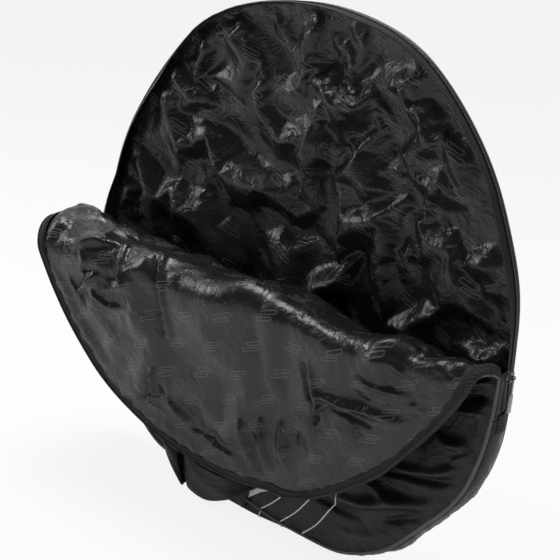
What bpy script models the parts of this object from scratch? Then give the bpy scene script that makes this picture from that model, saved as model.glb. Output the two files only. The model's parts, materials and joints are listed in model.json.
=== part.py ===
"""Bike wheel bag: a padded round bag that stands on its own, with its front flap unzipped and folded down.

Metres, +Z up. The origin is the middle of the flat bottom that the bag stands on. The front
faces -Y. The round outline is drawn about the disc centre, CENTRE_HEIGHT above the floor, and
angles on it run from +X towards +Z. Every soft piece is cut from that one outline: a piece that
lies deeper takes a larger inset from it.
"""
import math

import bmesh
import bpy
from mathutils import Matrix, Vector

# Overall form
BAG_RADIUS = 0.375
BOTTOM_FLATTENING = 0.0275
BACK_CROWN = 0.028
ARC_STEP = math.radians(5.0)

# Layers, from the outside in
SHELL_CLOTH = 0.0010
FOAM = 0.0045
LINING_CLOTH = 0.0008
GAP = 0.0003
LAYER_GAP = 0.0004

# Piping in the two seams
PIPING_RADIUS = 0.0023
PIPING_PROUD = 0.0014

# Zip round the upper half of the side, which is as deep as its strips add up to
ZIP_GAP = 0.0020
COIL_WIDTH = 0.0022
COIL_HEIGHT = 0.0026
TAPE_WIDTH = 0.0140
TAPE_THICKNESS = 0.0009
TAPE_FRONT_MARGIN = 0.0015
TAPE_BACK_MARGIN = 0.0025
FRONT_STRIP_WIDTH = 0.0066
BACK_STRIP_WIDTH = 0.0058
BINDING_WIDTH = 0.0070
BINDING_THICKNESS = 0.0010

# How far the zip runs on below the fold, and what ends before and after it
ZIP_TAIL = 0.0590
COIL_STOP = 0.0065
TAPE_TUCK = 0.0196
PADDING_STEP = 0.0033
END_TAB_LENGTH = 0.024
END_TAB_WIDTH = 0.026
END_TAB_THICKNESS = 0.0010

# Flap: a root wedge that stands forward, and the main part that hangs from it
FOLD_GAP = 0.0003
EDGE_FOLD_GAP = 0.0004
ROOT_RIGHT_ANGLE = math.radians(5.0)
ROOT_LEFT_ANGLE = math.radians(19.0)
ROOT_OPEN_ANGLE = math.radians(82.0)
FLAP_OPEN_ANGLE = math.radians(107.0)

# Slider and its pull
SLIDER_DROP = 0.0070
SLIDER_LENGTH = 0.0110
SLIDER_PLATE = 0.0012
SLIDER_CLEARANCE = 0.0005
SLIDER_SIDE_CLEARANCE = 0.0010
SLIDER_FLANGE = 0.0008
SLIDER_POST_LENGTH = 0.0030
SLIDER_POST_WIDTH = 0.0010
LUG_THICKNESS = 0.0010
LUG_SPACING = 0.0042
CROSSBAR_RADIUS = 0.0007
PULL_CLEARANCE = 0.0004
PULL_EYE_WALL = 0.0010
PULL_TAB_LENGTH = 0.0200
PULL_TAB_WIDTH = 0.0034
PULL_TAB_THICKNESS = 0.0012
GRIP_LENGTH = 0.0240
GRIP_WIDTH = 0.0060
GRIP_THICKNESS = 0.0036

# Carrying handle, low on the left of the front
HANDLE_ANGLE = math.radians(251.3)
HANDLE_EDGE_INSET = 0.0413
HANDLE_TILT = math.radians(-13.5)
HANDLE_SPAN = 0.154
HANDLE_WIDTH = 0.034
HANDLE_THICKNESS = 0.0030
HANDLE_REACH = 0.036
HANDLE_ROUNDNESS = 0.55
HANDLE_STEPS = 16
PATCH_LENGTH = 0.024
PATCH_THICKNESS = 0.0012

# Shares of the back panel's radius where its rings lie, and how round its crown is
CROWN_RING_SHARES = (0.14, 0.28, 0.41, 0.53, 0.64, 0.74, 0.83, 0.92)
CROWN_POWER = 2.5

# Folds of the slack back panel, which lies open to view: where each crest starts and ends, as shares of
# the radius, and its share of the full height
FOLD_HEIGHT = 0.009
FOLD_WIDTH = 0.055
FOLD_SHARES = (
    (-0.48, 0.55, -0.09, 0.64, 1.0), (-0.09, 0.64, 0.23, 0.70, 1.0),
    (-0.07, 0.56, 0.13, 0.46, 1.0), (0.13, 0.46, 0.44, 0.46, 0.9),
    (-0.42, 0.50, -0.44, 0.36, 0.6), (-0.44, 0.36, -0.20, 0.32, 0.6),
    (-0.60, 0.34, -0.58, 0.12, 0.9), (-0.72, -0.04, -0.56, -0.14, 0.8),
    (0.42, 0.33, 0.62, 0.20, 0.5), (0.62, 0.20, 0.66, 0.02, 0.8), (0.45, 0.08, 0.37, 0.24, 0.6),
    (-0.55, -0.35, -0.22, -0.52, 0.9), (0.02, -0.48, 0.20, -0.64, 0.9), (0.38, -0.52, 0.62, -0.28, 0.9),
)
FOLD_FADE_SHARE = 0.12

OVERRUN = 0.004
MERGE_DISTANCE = 0.00001
ANGLE_TOLERANCE = math.radians(0.001)

# Across the side, from the middle of the zip outwards
COIL_NEAR = ZIP_GAP / 2
COIL_FAR = COIL_NEAR + COIL_WIDTH
TAPE_NEAR = COIL_FAR + GAP
TAPE_FAR = TAPE_NEAR + TAPE_WIDTH
SIDE_WIDTH = TAPE_FRONT_MARGIN + 2 * TAPE_FAR + TAPE_BACK_MARGIN
SEAM_DEPTH = 2 * PIPING_RADIUS + GAP - PIPING_PROUD
GUSSET_DEPTH = SIDE_WIDTH + 2 * SEAM_DEPTH
GUSSET_EDGE_Y = SIDE_WIDTH / 2
FRONT_Y = -GUSSET_DEPTH / 2
BACK_Y = GUSSET_DEPTH / 2
ZIP_Y = -GUSSET_EDGE_Y + TAPE_FRONT_MARGIN + TAPE_FAR
PIPING_Y = BACK_Y + PIPING_PROUD - PIPING_RADIUS
FOLD_Y = FRONT_Y - PIPING_PROUD

# How deep each layer lies inside the outline
PIPING_INSET = PIPING_RADIUS + GAP
PANEL_INSET = PIPING_INSET + PIPING_RADIUS + GAP
FOAM_INSET = SHELL_CLOTH + GAP
LINING_INSET = FOAM_INSET + FOAM + GAP
PADDING_INSET = LINING_INSET + LINING_CLOTH + LAYER_GAP
TAPE_INSET = SHELL_CLOTH + GAP
COIL_INSET = TAPE_INSET + TAPE_THICKNESS / 2 - COIL_HEIGHT / 2
BINDING_INSET = TAPE_INSET + TAPE_THICKNESS + GAP

# Angles on the outline
CENTRE_HEIGHT = BAG_RADIUS - BOTTOM_FLATTENING
CORNER_ANGLE = math.acos(CENTRE_HEIGHT / BAG_RADIUS)
ZIP_TAIL_ANGLE = ZIP_TAIL / BAG_RADIUS
COIL_TAIL_ANGLE = ZIP_TAIL_ANGLE - COIL_STOP / BAG_RADIUS
TAPE_TAIL_ANGLE = ZIP_TAIL_ANGLE + TAPE_TUCK / BAG_RADIUS
PADDING_START_ANGLE = TAPE_TAIL_ANGLE + PADDING_STEP / BAG_RADIUS
SEAM_ANGLE = GAP / BAG_RADIUS
STOP_ANGLE = EDGE_FOLD_GAP / BAG_RADIUS
FULL_TURN = 2 * math.pi
RIGHT, LEFT, BOTTOM = 0, FULL_TURN / 2, FULL_TURN * 3 / 4
LEFT_CORNER = BOTTOM - CORNER_ANGLE
RIGHT_CORNER = BOTTOM + CORNER_ANGLE
SHARP_ANGLE = math.radians(30.0)


# Materials

def make_material(name, colour, roughness, metallic=0.0):
    material = bpy.data.materials.new(name)
    material.use_nodes = True
    shader = material.node_tree.nodes["Principled BSDF"]
    shader.inputs["Base Color"].default_value = (*colour, 1.0)
    shader.inputs["Roughness"].default_value = roughness
    shader.inputs["Metallic"].default_value = metallic
    material.diffuse_color = (*colour, 1.0)
    return material


def make_materials():
    return {
        "shell": make_material("shell_nylon", (0.018, 0.018, 0.020), 0.50),
        "lining": make_material("lining_satin", (0.055, 0.055, 0.058), 0.32),
        "foam": make_material("padding_foam", (0.30, 0.30, 0.31), 0.90),
        "piping": make_material("piping_cloth", (0.16, 0.16, 0.165), 0.45),
        "tape": make_material("zip_tape", (0.045, 0.045, 0.047), 0.80),
        "coil": make_material("zip_coil", (0.030, 0.030, 0.032), 0.40),
        "binding": make_material("binding_tape", (0.070, 0.070, 0.073), 0.65),
        "webbing": make_material("handle_webbing", (0.020, 0.020, 0.021), 0.65),
        "metal": make_material("slider_metal", (0.22, 0.22, 0.23), 0.30, 0.9),
        "grip": make_material("pull_grip", (0.48, 0.48, 0.48), 0.55),
    }


# The outline that every soft piece follows

def rim_radius(angle):
    """The distance from the disc centre to the outline: a circle with a flat at the bottom."""
    drop = -math.sin(angle)
    return min(BAG_RADIUS, CENTRE_HEIGHT / drop) if drop > 0 else BAG_RADIUS


def rim_angles():
    """Corner angles of the outline's polygon, with one at each end of every kind of run."""
    marks = (RIGHT, ROOT_RIGHT_ANGLE, LEFT - ROOT_LEFT_ANGLE, LEFT,
             LEFT_CORNER, RIGHT_CORNER, RIGHT + FULL_TURN)
    angles = []
    for start, end in zip(marks, marks[1:]):
        count = max(1, round((end - start) / ARC_STEP))
        angles += [start + (end - start) * step / count for step in range(count)]
    return angles


RIM_ANGLES = rim_angles()
RIM = [Vector((math.cos(a), math.sin(a))) * rim_radius(a) for a in RIM_ANGLES]


def side_normal(index):
    """The outward normal of the polygon's side from corner index to the next one."""
    side = (RIM[(index + 1) % len(RIM)] - RIM[index % len(RIM)]).normalized()
    return Vector((side.y, -side.x))


def inset_corner(index, inset):
    """A corner moved inwards so that both of its sides lie inset deeper."""
    before, after = side_normal(index - 1), side_normal(index)
    mean = (before + after).normalized()
    return RIM[index % len(RIM)] - mean * (inset / mean.dot(after))


def inset_point(angle, inset):
    """The point of the polygon's side at an angle, moved inwards square to that side."""
    angle = angle % FULL_TURN
    index = max(i for i, a in enumerate(RIM_ANGLES) if a <= angle + ANGLE_TOLERANCE)
    normal = side_normal(index)
    ray = Vector((math.cos(angle), math.sin(angle)))
    return ray * (RIM[index].dot(normal) / ray.dot(normal)) - normal * inset


def rim_run(start, end, inset):
    """Points along the outline from one angle to another, as (x, z) about the disc centre."""
    points = [inset_point(start, inset)]
    index = math.floor(start / FULL_TURN) * len(RIM)
    while True:
        angle = RIM_ANGLES[index % len(RIM)] + (index // len(RIM)) * FULL_TURN
        if angle >= end - ANGLE_TOLERANCE:
            break
        if angle > start + ANGLE_TOLERANCE:
            points.append(inset_corner(index % len(RIM), inset))
        index += 1
    points.append(inset_point(end, inset))
    return points


def rim_loop(inset):
    return [inset_corner(index, inset) for index in range(len(RIM))]


def fold_line():
    """The two ends, on the outline, of the line where the flap bends off its root."""
    right = Vector((math.cos(ROOT_RIGHT_ANGLE), math.sin(ROOT_RIGHT_ANGLE))) * BAG_RADIUS
    left_angle = LEFT - ROOT_LEFT_ANGLE
    left = Vector((math.cos(left_angle), math.sin(left_angle))) * BAG_RADIUS
    return right, left


# Where the moving pieces turn

def joint_empty(name, collection, parent=None, place=(0, 0, 0), rotation=None):
    empty = bpy.data.objects.new(name, None)
    empty.empty_display_size = GUSSET_DEPTH
    collection.objects.link(empty)
    empty.parent = parent
    empty.location = place
    if rotation is not None:
        empty.rotation_mode = "QUATERNION"
        empty.rotation_quaternion = rotation.to_quaternion()
    return empty


# Shapes

def add_object(name, mesh, collection, material, parent=None, origin=(0, 0, 0)):
    """Links a mesh whose points are given about the disc centre, on the object's own origin."""
    mesh.transform(Matrix.Translation(-Vector(origin)))
    mesh.materials.append(material)
    piece = bpy.data.objects.new(name, mesh)
    collection.objects.link(piece)
    if parent is None:
        piece.location = Vector(origin) + Vector((0, 0, CENTRE_HEIGHT))
    else:
        piece.parent = parent
    mesh.shade_smooth()
    mesh.set_sharp_from_angle(angle=SHARP_ANGLE)
    return piece


def thicken(piece, thickness):
    """Gives an open surface its thickness, inwards from the side that its faces point to."""
    wall = piece.modifiers.new("wall", "SOLIDIFY")
    wall.thickness = thickness
    wall.offset = -1.0
    wall.use_even_offset = True
    wall.use_quality_normals = True


def cut_surface(surface, cuts):
    """Trims an open surface by planes through a point of the front, each given as (x, z), normal."""
    for point, normal in cuts:
        bmesh.ops.bisect_plane(
            surface, geom=surface.verts[:] + surface.edges[:] + surface.faces[:], dist=MERGE_DISTANCE,
            plane_co=(point.x, 0, point.y), plane_no=(normal.x, 0, normal.y), clear_inner=True)


def band_surface(points, closed, near_y, far_y):
    """A strip over the outline's points, from one Y to another, with its faces outwards."""
    surface = bmesh.new()
    corners = [surface.verts.new((p.x, near_y, p.y)) for p in points]
    pairs = list(zip(corners, corners[1:]))
    if closed:
        pairs.append((corners[-1], corners[0]))
    edges = [surface.edges.new(pair) for pair in pairs]
    result = bmesh.ops.extrude_edge_only(surface, edges=edges)
    moved = [item for item in result["geom"] if isinstance(item, bmesh.types.BMVert)]
    bmesh.ops.translate(surface, verts=moved, vec=(0, far_y - near_y, 0))
    surface.normal_update()
    face = next(iter(surface.faces))
    centre = face.calc_center_median()
    if face.normal.dot(Vector((centre.x, 0, centre.z))) < 0:
        bmesh.ops.reverse_faces(surface, faces=surface.faces[:])
    return surface


def band(name, collection, material, span, inset, depths, thickness,
         parent=None, origin=(0, 0, 0), cuts=()):
    """A strip of cloth, tape or foam that runs along the outline, thickened inwards."""
    points = rim_loop(inset) if span is None else rim_run(span[0], span[1], inset)
    surface = band_surface(points, span is None, depths[0], depths[1])
    cut_surface(surface, cuts)
    mesh = bpy.data.meshes.new(name)
    surface.to_mesh(mesh)
    surface.free()
    piece = add_object(name, mesh, collection, material, parent, origin)
    thicken(piece, thickness)
    return piece


def half_panel(name, collection, material, span, inset, outer_y, thickness,
               parent=None, origin=(0, 0, 0), cuts=()):
    """A flat cut piece inside the outline, whose outer face looks to the front."""
    surface = bmesh.new()
    corners = [surface.verts.new((p.x, outer_y, p.y)) for p in rim_run(span[0], span[1], inset)]
    face = surface.faces.new(corners)
    face.normal_update()
    if face.normal.y > 0:
        face.normal_flip()
    cut_surface(surface, cuts)
    mesh = bpy.data.meshes.new(name)
    surface.to_mesh(mesh)
    surface.free()
    piece = add_object(name, mesh, collection, material, parent, origin)
    thicken(piece, thickness)
    return piece


def fold_height(place):
    """How far the highest fold at a place, given about the disc centre, stands into the bag."""
    highest = 0
    for start_x, start_z, end_x, end_z, height_share in FOLD_SHARES:
        start, end = Vector((start_x, start_z)) * BAG_RADIUS, Vector((end_x, end_z)) * BAG_RADIUS
        run = end - start
        along = min(1, max(0, (place - start).dot(run) / run.dot(run)))
        away = min(1, (place - start - run * along).length / FOLD_WIDTH)
        highest = max(highest, FOLD_HEIGHT * height_share * math.cos(away * FULL_TURN / 4) ** 2)
    return highest


def crowned_panel(name, collection, material, outer_y, thickness, hem_inset=None):
    """A round panel that is domed to the back and folded, on rings that all of its layers share."""
    rings = []
    surface = bmesh.new()
    edge = rim_loop(PADDING_INSET)
    middle = surface.verts.new((0, outer_y + BACK_CROWN, 0))
    for share in CROWN_RING_SHARES + (1.0,):
        rise = BACK_CROWN * (1 - share ** CROWN_POWER)
        free = min(1, (1 - share) / FOLD_FADE_SHARE)
        places = [p * share for p in edge]
        rings.append([surface.verts.new((p.x, outer_y + rise - free * fold_height(p), p.y)) for p in places])
    if hem_inset is not None:
        rings.append([surface.verts.new((p.x, outer_y, p.y)) for p in rim_loop(hem_inset)])
    count = len(edge)
    for index in range(count):
        after = (index + 1) % count
        surface.faces.new((middle, rings[0][after], rings[0][index]))
        for inner, outer in zip(rings, rings[1:]):
            surface.faces.new((inner[index], inner[after], outer[after], outer[index]))
    surface.normal_update()
    for face in surface.faces:
        if face.normal.y < 0:
            face.normal_flip()
    mesh = bpy.data.meshes.new(name)
    surface.to_mesh(mesh)
    surface.free()
    piece = add_object(name, mesh, collection, material)
    thicken(piece, thickness)
    return piece


def piping(name, collection, material, span, side, parent=None, origin=(0, 0, 0)):
    """A round cord in cloth that lies in the seam, on the front (side -1) or the back (side 1)."""
    points = rim_loop(PIPING_INSET) if span is None else rim_run(span[0], span[1], PIPING_INSET)
    curve = bpy.data.curves.new(name, "CURVE")
    curve.dimensions = "3D"
    spline = curve.splines.new("POLY")
    spline.points.add(len(points) - 1)
    for target, point in zip(spline.points, points):
        place = Vector((point.x, side * PIPING_Y, point.y)) - Vector(origin)
        target.co = (*place, 1.0)
    spline.use_cyclic_u = span is None
    curve.bevel_depth = PIPING_RADIUS
    curve.bevel_resolution = 2
    curve.use_fill_caps = span is not None
    curve.materials.append(material)
    piece = bpy.data.objects.new(name, curve)
    collection.objects.link(piece)
    if parent is None:
        piece.location = Vector(origin) + Vector((0, 0, CENTRE_HEIGHT))
    else:
        piece.parent = parent
    return piece


def add_box(low, high):
    """A cube primitive stretched between two corners, as a mesh."""
    low, high = Vector(low), Vector(high)
    block = bmesh.new()
    bmesh.ops.create_cube(block, size=1.0)
    bmesh.ops.scale(block, vec=high - low, verts=block.verts)
    bmesh.ops.translate(block, vec=(low + high) / 2, verts=block.verts)
    mesh = bpy.data.meshes.new("block")
    block.to_mesh(mesh)
    block.free()
    return mesh


def add_rod(centre, radius, length, sides=20):
    """A cylinder primitive along Y about a centre, as a mesh."""
    rod = bmesh.new()
    bmesh.ops.create_cone(rod, cap_ends=True, segments=sides, radius1=radius, radius2=radius, depth=length)
    bmesh.ops.rotate(rod, cent=(0, 0, 0), matrix=Matrix.Rotation(FULL_TURN / 4, 3, "X"), verts=rod.verts)
    bmesh.ops.translate(rod, vec=centre, verts=rod.verts)
    mesh = bpy.data.meshes.new("rod")
    rod.to_mesh(mesh)
    rod.free()
    return mesh


def combine(piece, meshes, operation, tools):
    """Joins meshes to a piece, or cuts them from it, with Boolean modifiers."""
    for count, mesh in enumerate(meshes):
        tool = bpy.data.objects.new(f"{piece.name}_{operation.lower()}_{count}", mesh)
        tools.objects.link(tool)
        tool.parent = piece.parent
        tool.hide_render = True
        tool.display_type = "WIRE"
        step = piece.modifiers.new(tool.name, "BOOLEAN")
        step.operation = operation
        step.object = tool


# The bag's fixed body

def make_back(bag, look):
    shell_y = BACK_Y
    foam_y = shell_y - SHELL_CLOTH - LAYER_GAP
    lining_y = foam_y - FOAM - LAYER_GAP
    crowned_panel("back_panel_shell", bag, look["shell"], shell_y, SHELL_CLOTH, PANEL_INSET)
    crowned_panel("back_panel_foam", bag, look["foam"], foam_y, FOAM)
    crowned_panel("back_panel_lining", bag, look["lining"], lining_y, LINING_CLOTH)
    piping("back_piping", bag, look["piping"], None, 1)


def make_front_panel(bag, look):
    """The lower half of the front, which stays shut."""
    cuts = [(Vector((0, -FOLD_GAP)), Vector((0, -1)))]
    span = (LEFT, RIGHT + FULL_TURN)
    layers = (("front_panel_shell", "shell", PANEL_INSET, SHELL_CLOTH),
              ("front_panel_foam", "foam", PADDING_INSET, FOAM),
              ("front_panel_lining", "lining", PADDING_INSET, LINING_CLOTH))
    depth = FRONT_Y
    for name, finish, inset, thickness in layers:
        half_panel(name, bag, look[finish], span, inset, depth, thickness, cuts=cuts)
        depth += thickness + LAYER_GAP
    piping("front_piping", bag, look["piping"], (LEFT + STOP_ANGLE, FULL_TURN - STOP_ANGLE), -1)


def make_gusset(bag, look):
    """The long side strip: one whole piece below, and a narrow strip behind the zip above."""
    padding = (LEFT + PADDING_START_ANGLE, FULL_TURN - PADDING_START_ANGLE)
    whole = (LEFT + ZIP_TAIL_ANGLE, FULL_TURN - ZIP_TAIL_ANGLE)
    upper = (-ZIP_TAIL_ANGLE + SEAM_ANGLE, LEFT + ZIP_TAIL_ANGLE - SEAM_ANGLE)
    depths = (-GUSSET_EDGE_Y, GUSSET_EDGE_Y)
    band("gusset_lower", bag, look["shell"], whole, 0, depths, SHELL_CLOTH)
    band("gusset_foam", bag, look["foam"], padding, FOAM_INSET, depths, FOAM)
    band("gusset_lining", bag, look["lining"], padding, LINING_INSET, depths, LINING_CLOTH)
    band("gusset_upper_strip", bag, look["shell"], upper, 0,
         (GUSSET_EDGE_Y - BACK_STRIP_WIDTH, GUSSET_EDGE_Y), SHELL_CLOTH)
    band("rim_binding", bag, look["binding"], upper, BINDING_INSET,
         (GUSSET_EDGE_Y - BINDING_WIDTH, GUSSET_EDGE_Y), BINDING_THICKNESS)


def make_zip(bag, look):
    """The gusset's half of the zip, and the short ends of its other half that stay with the bag."""
    tape = (-TAPE_TAIL_ANGLE, LEFT + TAPE_TAIL_ANGLE)
    coil = (-COIL_TAIL_ANGLE, LEFT + COIL_TAIL_ANGLE)
    band("zip_tape_gusset", bag, look["tape"], tape, TAPE_INSET,
         (ZIP_Y + TAPE_NEAR, ZIP_Y + TAPE_FAR), TAPE_THICKNESS)
    band("zip_coil_gusset", bag, look["coil"], coil, COIL_INSET,
         (ZIP_Y + COIL_NEAR, ZIP_Y + COIL_FAR), COIL_HEIGHT)
    half_tab = END_TAB_LENGTH / BAG_RADIUS / 2
    middle = ZIP_TAIL_ANGLE + half_tab / 2
    ends = {"right": lambda tail, tip: (-tail, -tip), "left": lambda tail, tip: (LEFT + tip, LEFT + tail)}
    for side, span in ends.items():
        band(f"gusset_front_stub_{side}", bag, look["shell"],
             span(ZIP_TAIL_ANGLE - SEAM_ANGLE, STOP_ANGLE), 0,
             (-GUSSET_EDGE_Y, -GUSSET_EDGE_Y + FRONT_STRIP_WIDTH), SHELL_CLOTH)
        band(f"zip_tape_stub_{side}", bag, look["tape"], span(TAPE_TAIL_ANGLE, STOP_ANGLE), TAPE_INSET,
             (ZIP_Y - TAPE_FAR, ZIP_Y - TAPE_NEAR), TAPE_THICKNESS)
        band(f"zip_coil_stub_{side}", bag, look["coil"], span(COIL_TAIL_ANGLE, STOP_ANGLE), COIL_INSET,
             (ZIP_Y - COIL_FAR, ZIP_Y - COIL_NEAR), COIL_HEIGHT)
        band(f"zip_end_tab_{side}", bag, look["binding"], span(middle + half_tab, middle - half_tab),
             -GAP - END_TAB_THICKNESS, (ZIP_Y - END_TAB_WIDTH / 2, ZIP_Y + END_TAB_WIDTH / 2),
             END_TAB_THICKNESS)


# The flap

def make_flap_joints(bag):
    right, left = fold_line()
    root = joint_empty("flap_root_joint", bag, None, (0, FOLD_Y, CENTRE_HEIGHT),
                       Matrix.Rotation(ROOT_OPEN_ANGLE, 4, "X"))
    axis = Vector((right.x - left.x, 0, right.y - left.y)).normalized()
    flap = joint_empty("flap_joint", bag, root, (right.x, 0, right.y),
                       Matrix.Rotation(FLAP_OPEN_ANGLE, 4, axis))
    return root, flap


def flap_layers(prefix, bag, look, span, parent, origin, panel_cuts):
    layers = (("shell", "shell", PANEL_INSET, SHELL_CLOTH),
              ("foam", "foam", PADDING_INSET, FOAM),
              ("lining", "lining", PADDING_INSET, LINING_CLOTH))
    depth = FRONT_Y
    for name, finish, inset, thickness in layers:
        half_panel(f"{prefix}_{name}", bag, look[finish], span, inset, depth, thickness,
                   parent, origin, panel_cuts)
        depth += thickness + LAYER_GAP


def flap_edge(prefix, suffix, bag, look, span, parent, origin):
    """The narrow strip, piping, tape and teeth that run along a stretch of the flap's edge."""
    band(f"{prefix}_lip{suffix}", bag, look["shell"], span, 0,
         (-GUSSET_EDGE_Y, -GUSSET_EDGE_Y + FRONT_STRIP_WIDTH), SHELL_CLOTH, parent, origin)
    band(f"{prefix}_zip_tape{suffix}", bag, look["tape"], span, TAPE_INSET,
         (ZIP_Y - TAPE_FAR, ZIP_Y - TAPE_NEAR), TAPE_THICKNESS, parent, origin)
    band(f"{prefix}_zip_coil{suffix}", bag, look["coil"], span, COIL_INSET,
         (ZIP_Y - COIL_FAR, ZIP_Y - COIL_NEAR), COIL_HEIGHT, parent, origin)
    piping(f"{prefix}_piping{suffix}", bag, look["piping"], span, -1, parent, origin)


def make_flap(bag, look):
    root, flap = make_flap_joints(bag)
    right, left = fold_line()
    root_origin = Vector((0, FOLD_Y, 0))
    flap_origin = Vector((right.x, FOLD_Y, right.y))
    along = (left - right).normalized()
    up = Vector((along.y, -along.x))
    up = up if up.y > 0 else -up
    upper = (RIGHT, LEFT)
    above_fold = (Vector((0, FOLD_GAP)), Vector((0, 1)))
    below_bend = (right - up * FOLD_GAP, -up)
    above_bend = (right + up * FOLD_GAP, up)
    flap_layers("flap_root", bag, look, upper, root, root_origin, [above_fold, below_bend])
    flap_layers("flap", bag, look, upper, flap, flap_origin, [above_bend])
    right_span = (RIGHT + STOP_ANGLE, ROOT_RIGHT_ANGLE - STOP_ANGLE)
    left_span = (LEFT - ROOT_LEFT_ANGLE + STOP_ANGLE, LEFT - STOP_ANGLE)
    flap_span = (ROOT_RIGHT_ANGLE + STOP_ANGLE, LEFT - ROOT_LEFT_ANGLE - STOP_ANGLE)
    flap_edge("flap_root", "_right", bag, look, right_span, root, root_origin)
    flap_edge("flap_root", "_left", bag, look, left_span, root, root_origin)
    flap_edge("flap", "", bag, look, flap_span, flap, flap_origin)


# The slider and its pull

def make_slider(bag, tools, look):
    """A slider that runs round the zip about the bag's own centre line, with a hinged pull."""
    rest_angle = SLIDER_DROP / BAG_RADIUS
    run = joint_empty("slider_joint", bag, None, (0, ZIP_Y, CENTRE_HEIGHT),
                      Matrix.Rotation(rest_angle, 4, "Y"))
    sagitta = BAG_RADIUS * (1 - math.cos(ARC_STEP / 2))
    coil_out = BAG_RADIUS - COIL_INSET
    coil_in = coil_out - COIL_HEIGHT - sagitta
    outer_face = coil_out + SLIDER_CLEARANCE
    inner_face = coil_in - SLIDER_CLEARANCE
    top = outer_face + SLIDER_PLATE
    half_length = SLIDER_LENGTH / 2
    half_width = COIL_FAR + SLIDER_SIDE_CLEARANCE + SLIDER_FLANGE
    outer_plate = add_box((outer_face, -half_width, -half_length), (top, half_width, half_length))
    piece = add_object("zip_slider", outer_plate, bag, look["metal"], run)
    inner_plate = add_box((inner_face - SLIDER_PLATE, -half_width, -half_length),
                          (inner_face, half_width, half_length))
    post = add_box((inner_face - SLIDER_PLATE / 2, -SLIDER_POST_WIDTH / 2, half_length - SLIDER_POST_LENGTH),
                   (outer_face + SLIDER_PLATE / 2, SLIDER_POST_WIDTH / 2, half_length - SLIDER_PLATE / 2))
    joined = [inner_plate, post]
    tape_out = BAG_RADIUS - TAPE_INSET + SLIDER_CLEARANCE
    tape_in = BAG_RADIUS - TAPE_INSET - TAPE_THICKNESS - sagitta - SLIDER_CLEARANCE
    for side in (-1, 1):
        near, far = sorted((side * (half_width - SLIDER_FLANGE), side * half_width))
        joined.append(add_box((tape_out, near, -half_length),
                              (outer_face + SLIDER_PLATE / 2, far, half_length)))
        joined.append(add_box((inner_face - SLIDER_PLATE / 2, near, -half_length),
                              (tape_in, far, half_length)))
    eye_radius = CROSSBAR_RADIUS + PULL_CLEARANCE + PULL_EYE_WALL
    bar_height = top + GAP + eye_radius
    lug_top = bar_height + CROSSBAR_RADIUS + LUG_THICKNESS / 2
    for side in (-1, 1):
        near, far = sorted((side * LUG_SPACING / 2, side * (LUG_SPACING / 2 + LUG_THICKNESS)))
        joined.append(add_box((top - SLIDER_PLATE / 2, near, -eye_radius), (lug_top, far, eye_radius)))
    joined.append(add_rod((bar_height, 0, 0), CROSSBAR_RADIUS, LUG_SPACING + LUG_THICKNESS))
    combine(piece, joined, "UNION", tools)
    pull = joint_empty("pull_joint", bag, run, (bar_height, 0, 0), Matrix.Rotation(-rest_angle, 4, "Y"))
    make_pull(bag, tools, look, pull)


def make_pull(bag, tools, look, pull):
    bore = CROSSBAR_RADIUS + PULL_CLEARANCE
    eye_width = LUG_SPACING - 2 * GAP
    eye_rod = add_rod((0, 0, 0), bore + PULL_EYE_WALL, eye_width)
    eye = add_object("pull_tab", eye_rod, bag, look["metal"], pull)
    tongue = add_box((-PULL_TAB_THICKNESS / 2, -PULL_TAB_WIDTH / 2, -PULL_TAB_LENGTH),
                     (PULL_TAB_THICKNESS / 2, PULL_TAB_WIDTH / 2, -bore - PULL_EYE_WALL / 2))
    combine(eye, [tongue], "UNION", tools)
    combine(eye, [add_rod((0, 0, 0), bore, eye_width + OVERRUN)], "DIFFERENCE", tools)
    grip_top = -PULL_TAB_LENGTH - GAP
    mesh = add_box((-GRIP_THICKNESS / 2, -GRIP_WIDTH / 2, grip_top - GRIP_LENGTH),
                   (GRIP_THICKNESS / 2, GRIP_WIDTH / 2, grip_top))
    grip = add_object("pull_grip", mesh, bag, look["grip"], pull)
    bevel = grip.modifiers.new("rounding", "BEVEL")
    bevel.width = GRIP_THICKNESS / 3
    bevel.segments = 2


# The carrying handle

def handle_frame():
    """The handle's own axes: X along it, Y into the bag and Z up its width, at its upper edge."""
    along = Vector((math.cos(HANDLE_TILT), math.sin(HANDLE_TILT)))
    up = Vector((-along.y, along.x))
    outward = Vector((math.cos(HANDLE_ANGLE), math.sin(HANDLE_ANGLE)))
    middle = outward * (BAG_RADIUS - HANDLE_EDGE_INSET) + up * HANDLE_WIDTH
    axes = Matrix(((along.x, 0, up.x), (0, 1, 0), (along.y, 0, up.y))).to_4x4()
    return Matrix.Translation((middle.x, FRONT_Y - GAP, CENTRE_HEIGHT + middle.y)) @ axes


def handle_arch(half_span, reach):
    """Half-round ends and a long flat crest, from the left foot over to the right one."""
    points = []
    for step in range(HANDLE_STEPS + 1):
        angle = math.pi * step / HANDLE_STEPS
        points.append((-half_span * math.cos(angle), -reach * math.sin(angle) ** HANDLE_ROUNDNESS))
    return points


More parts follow.
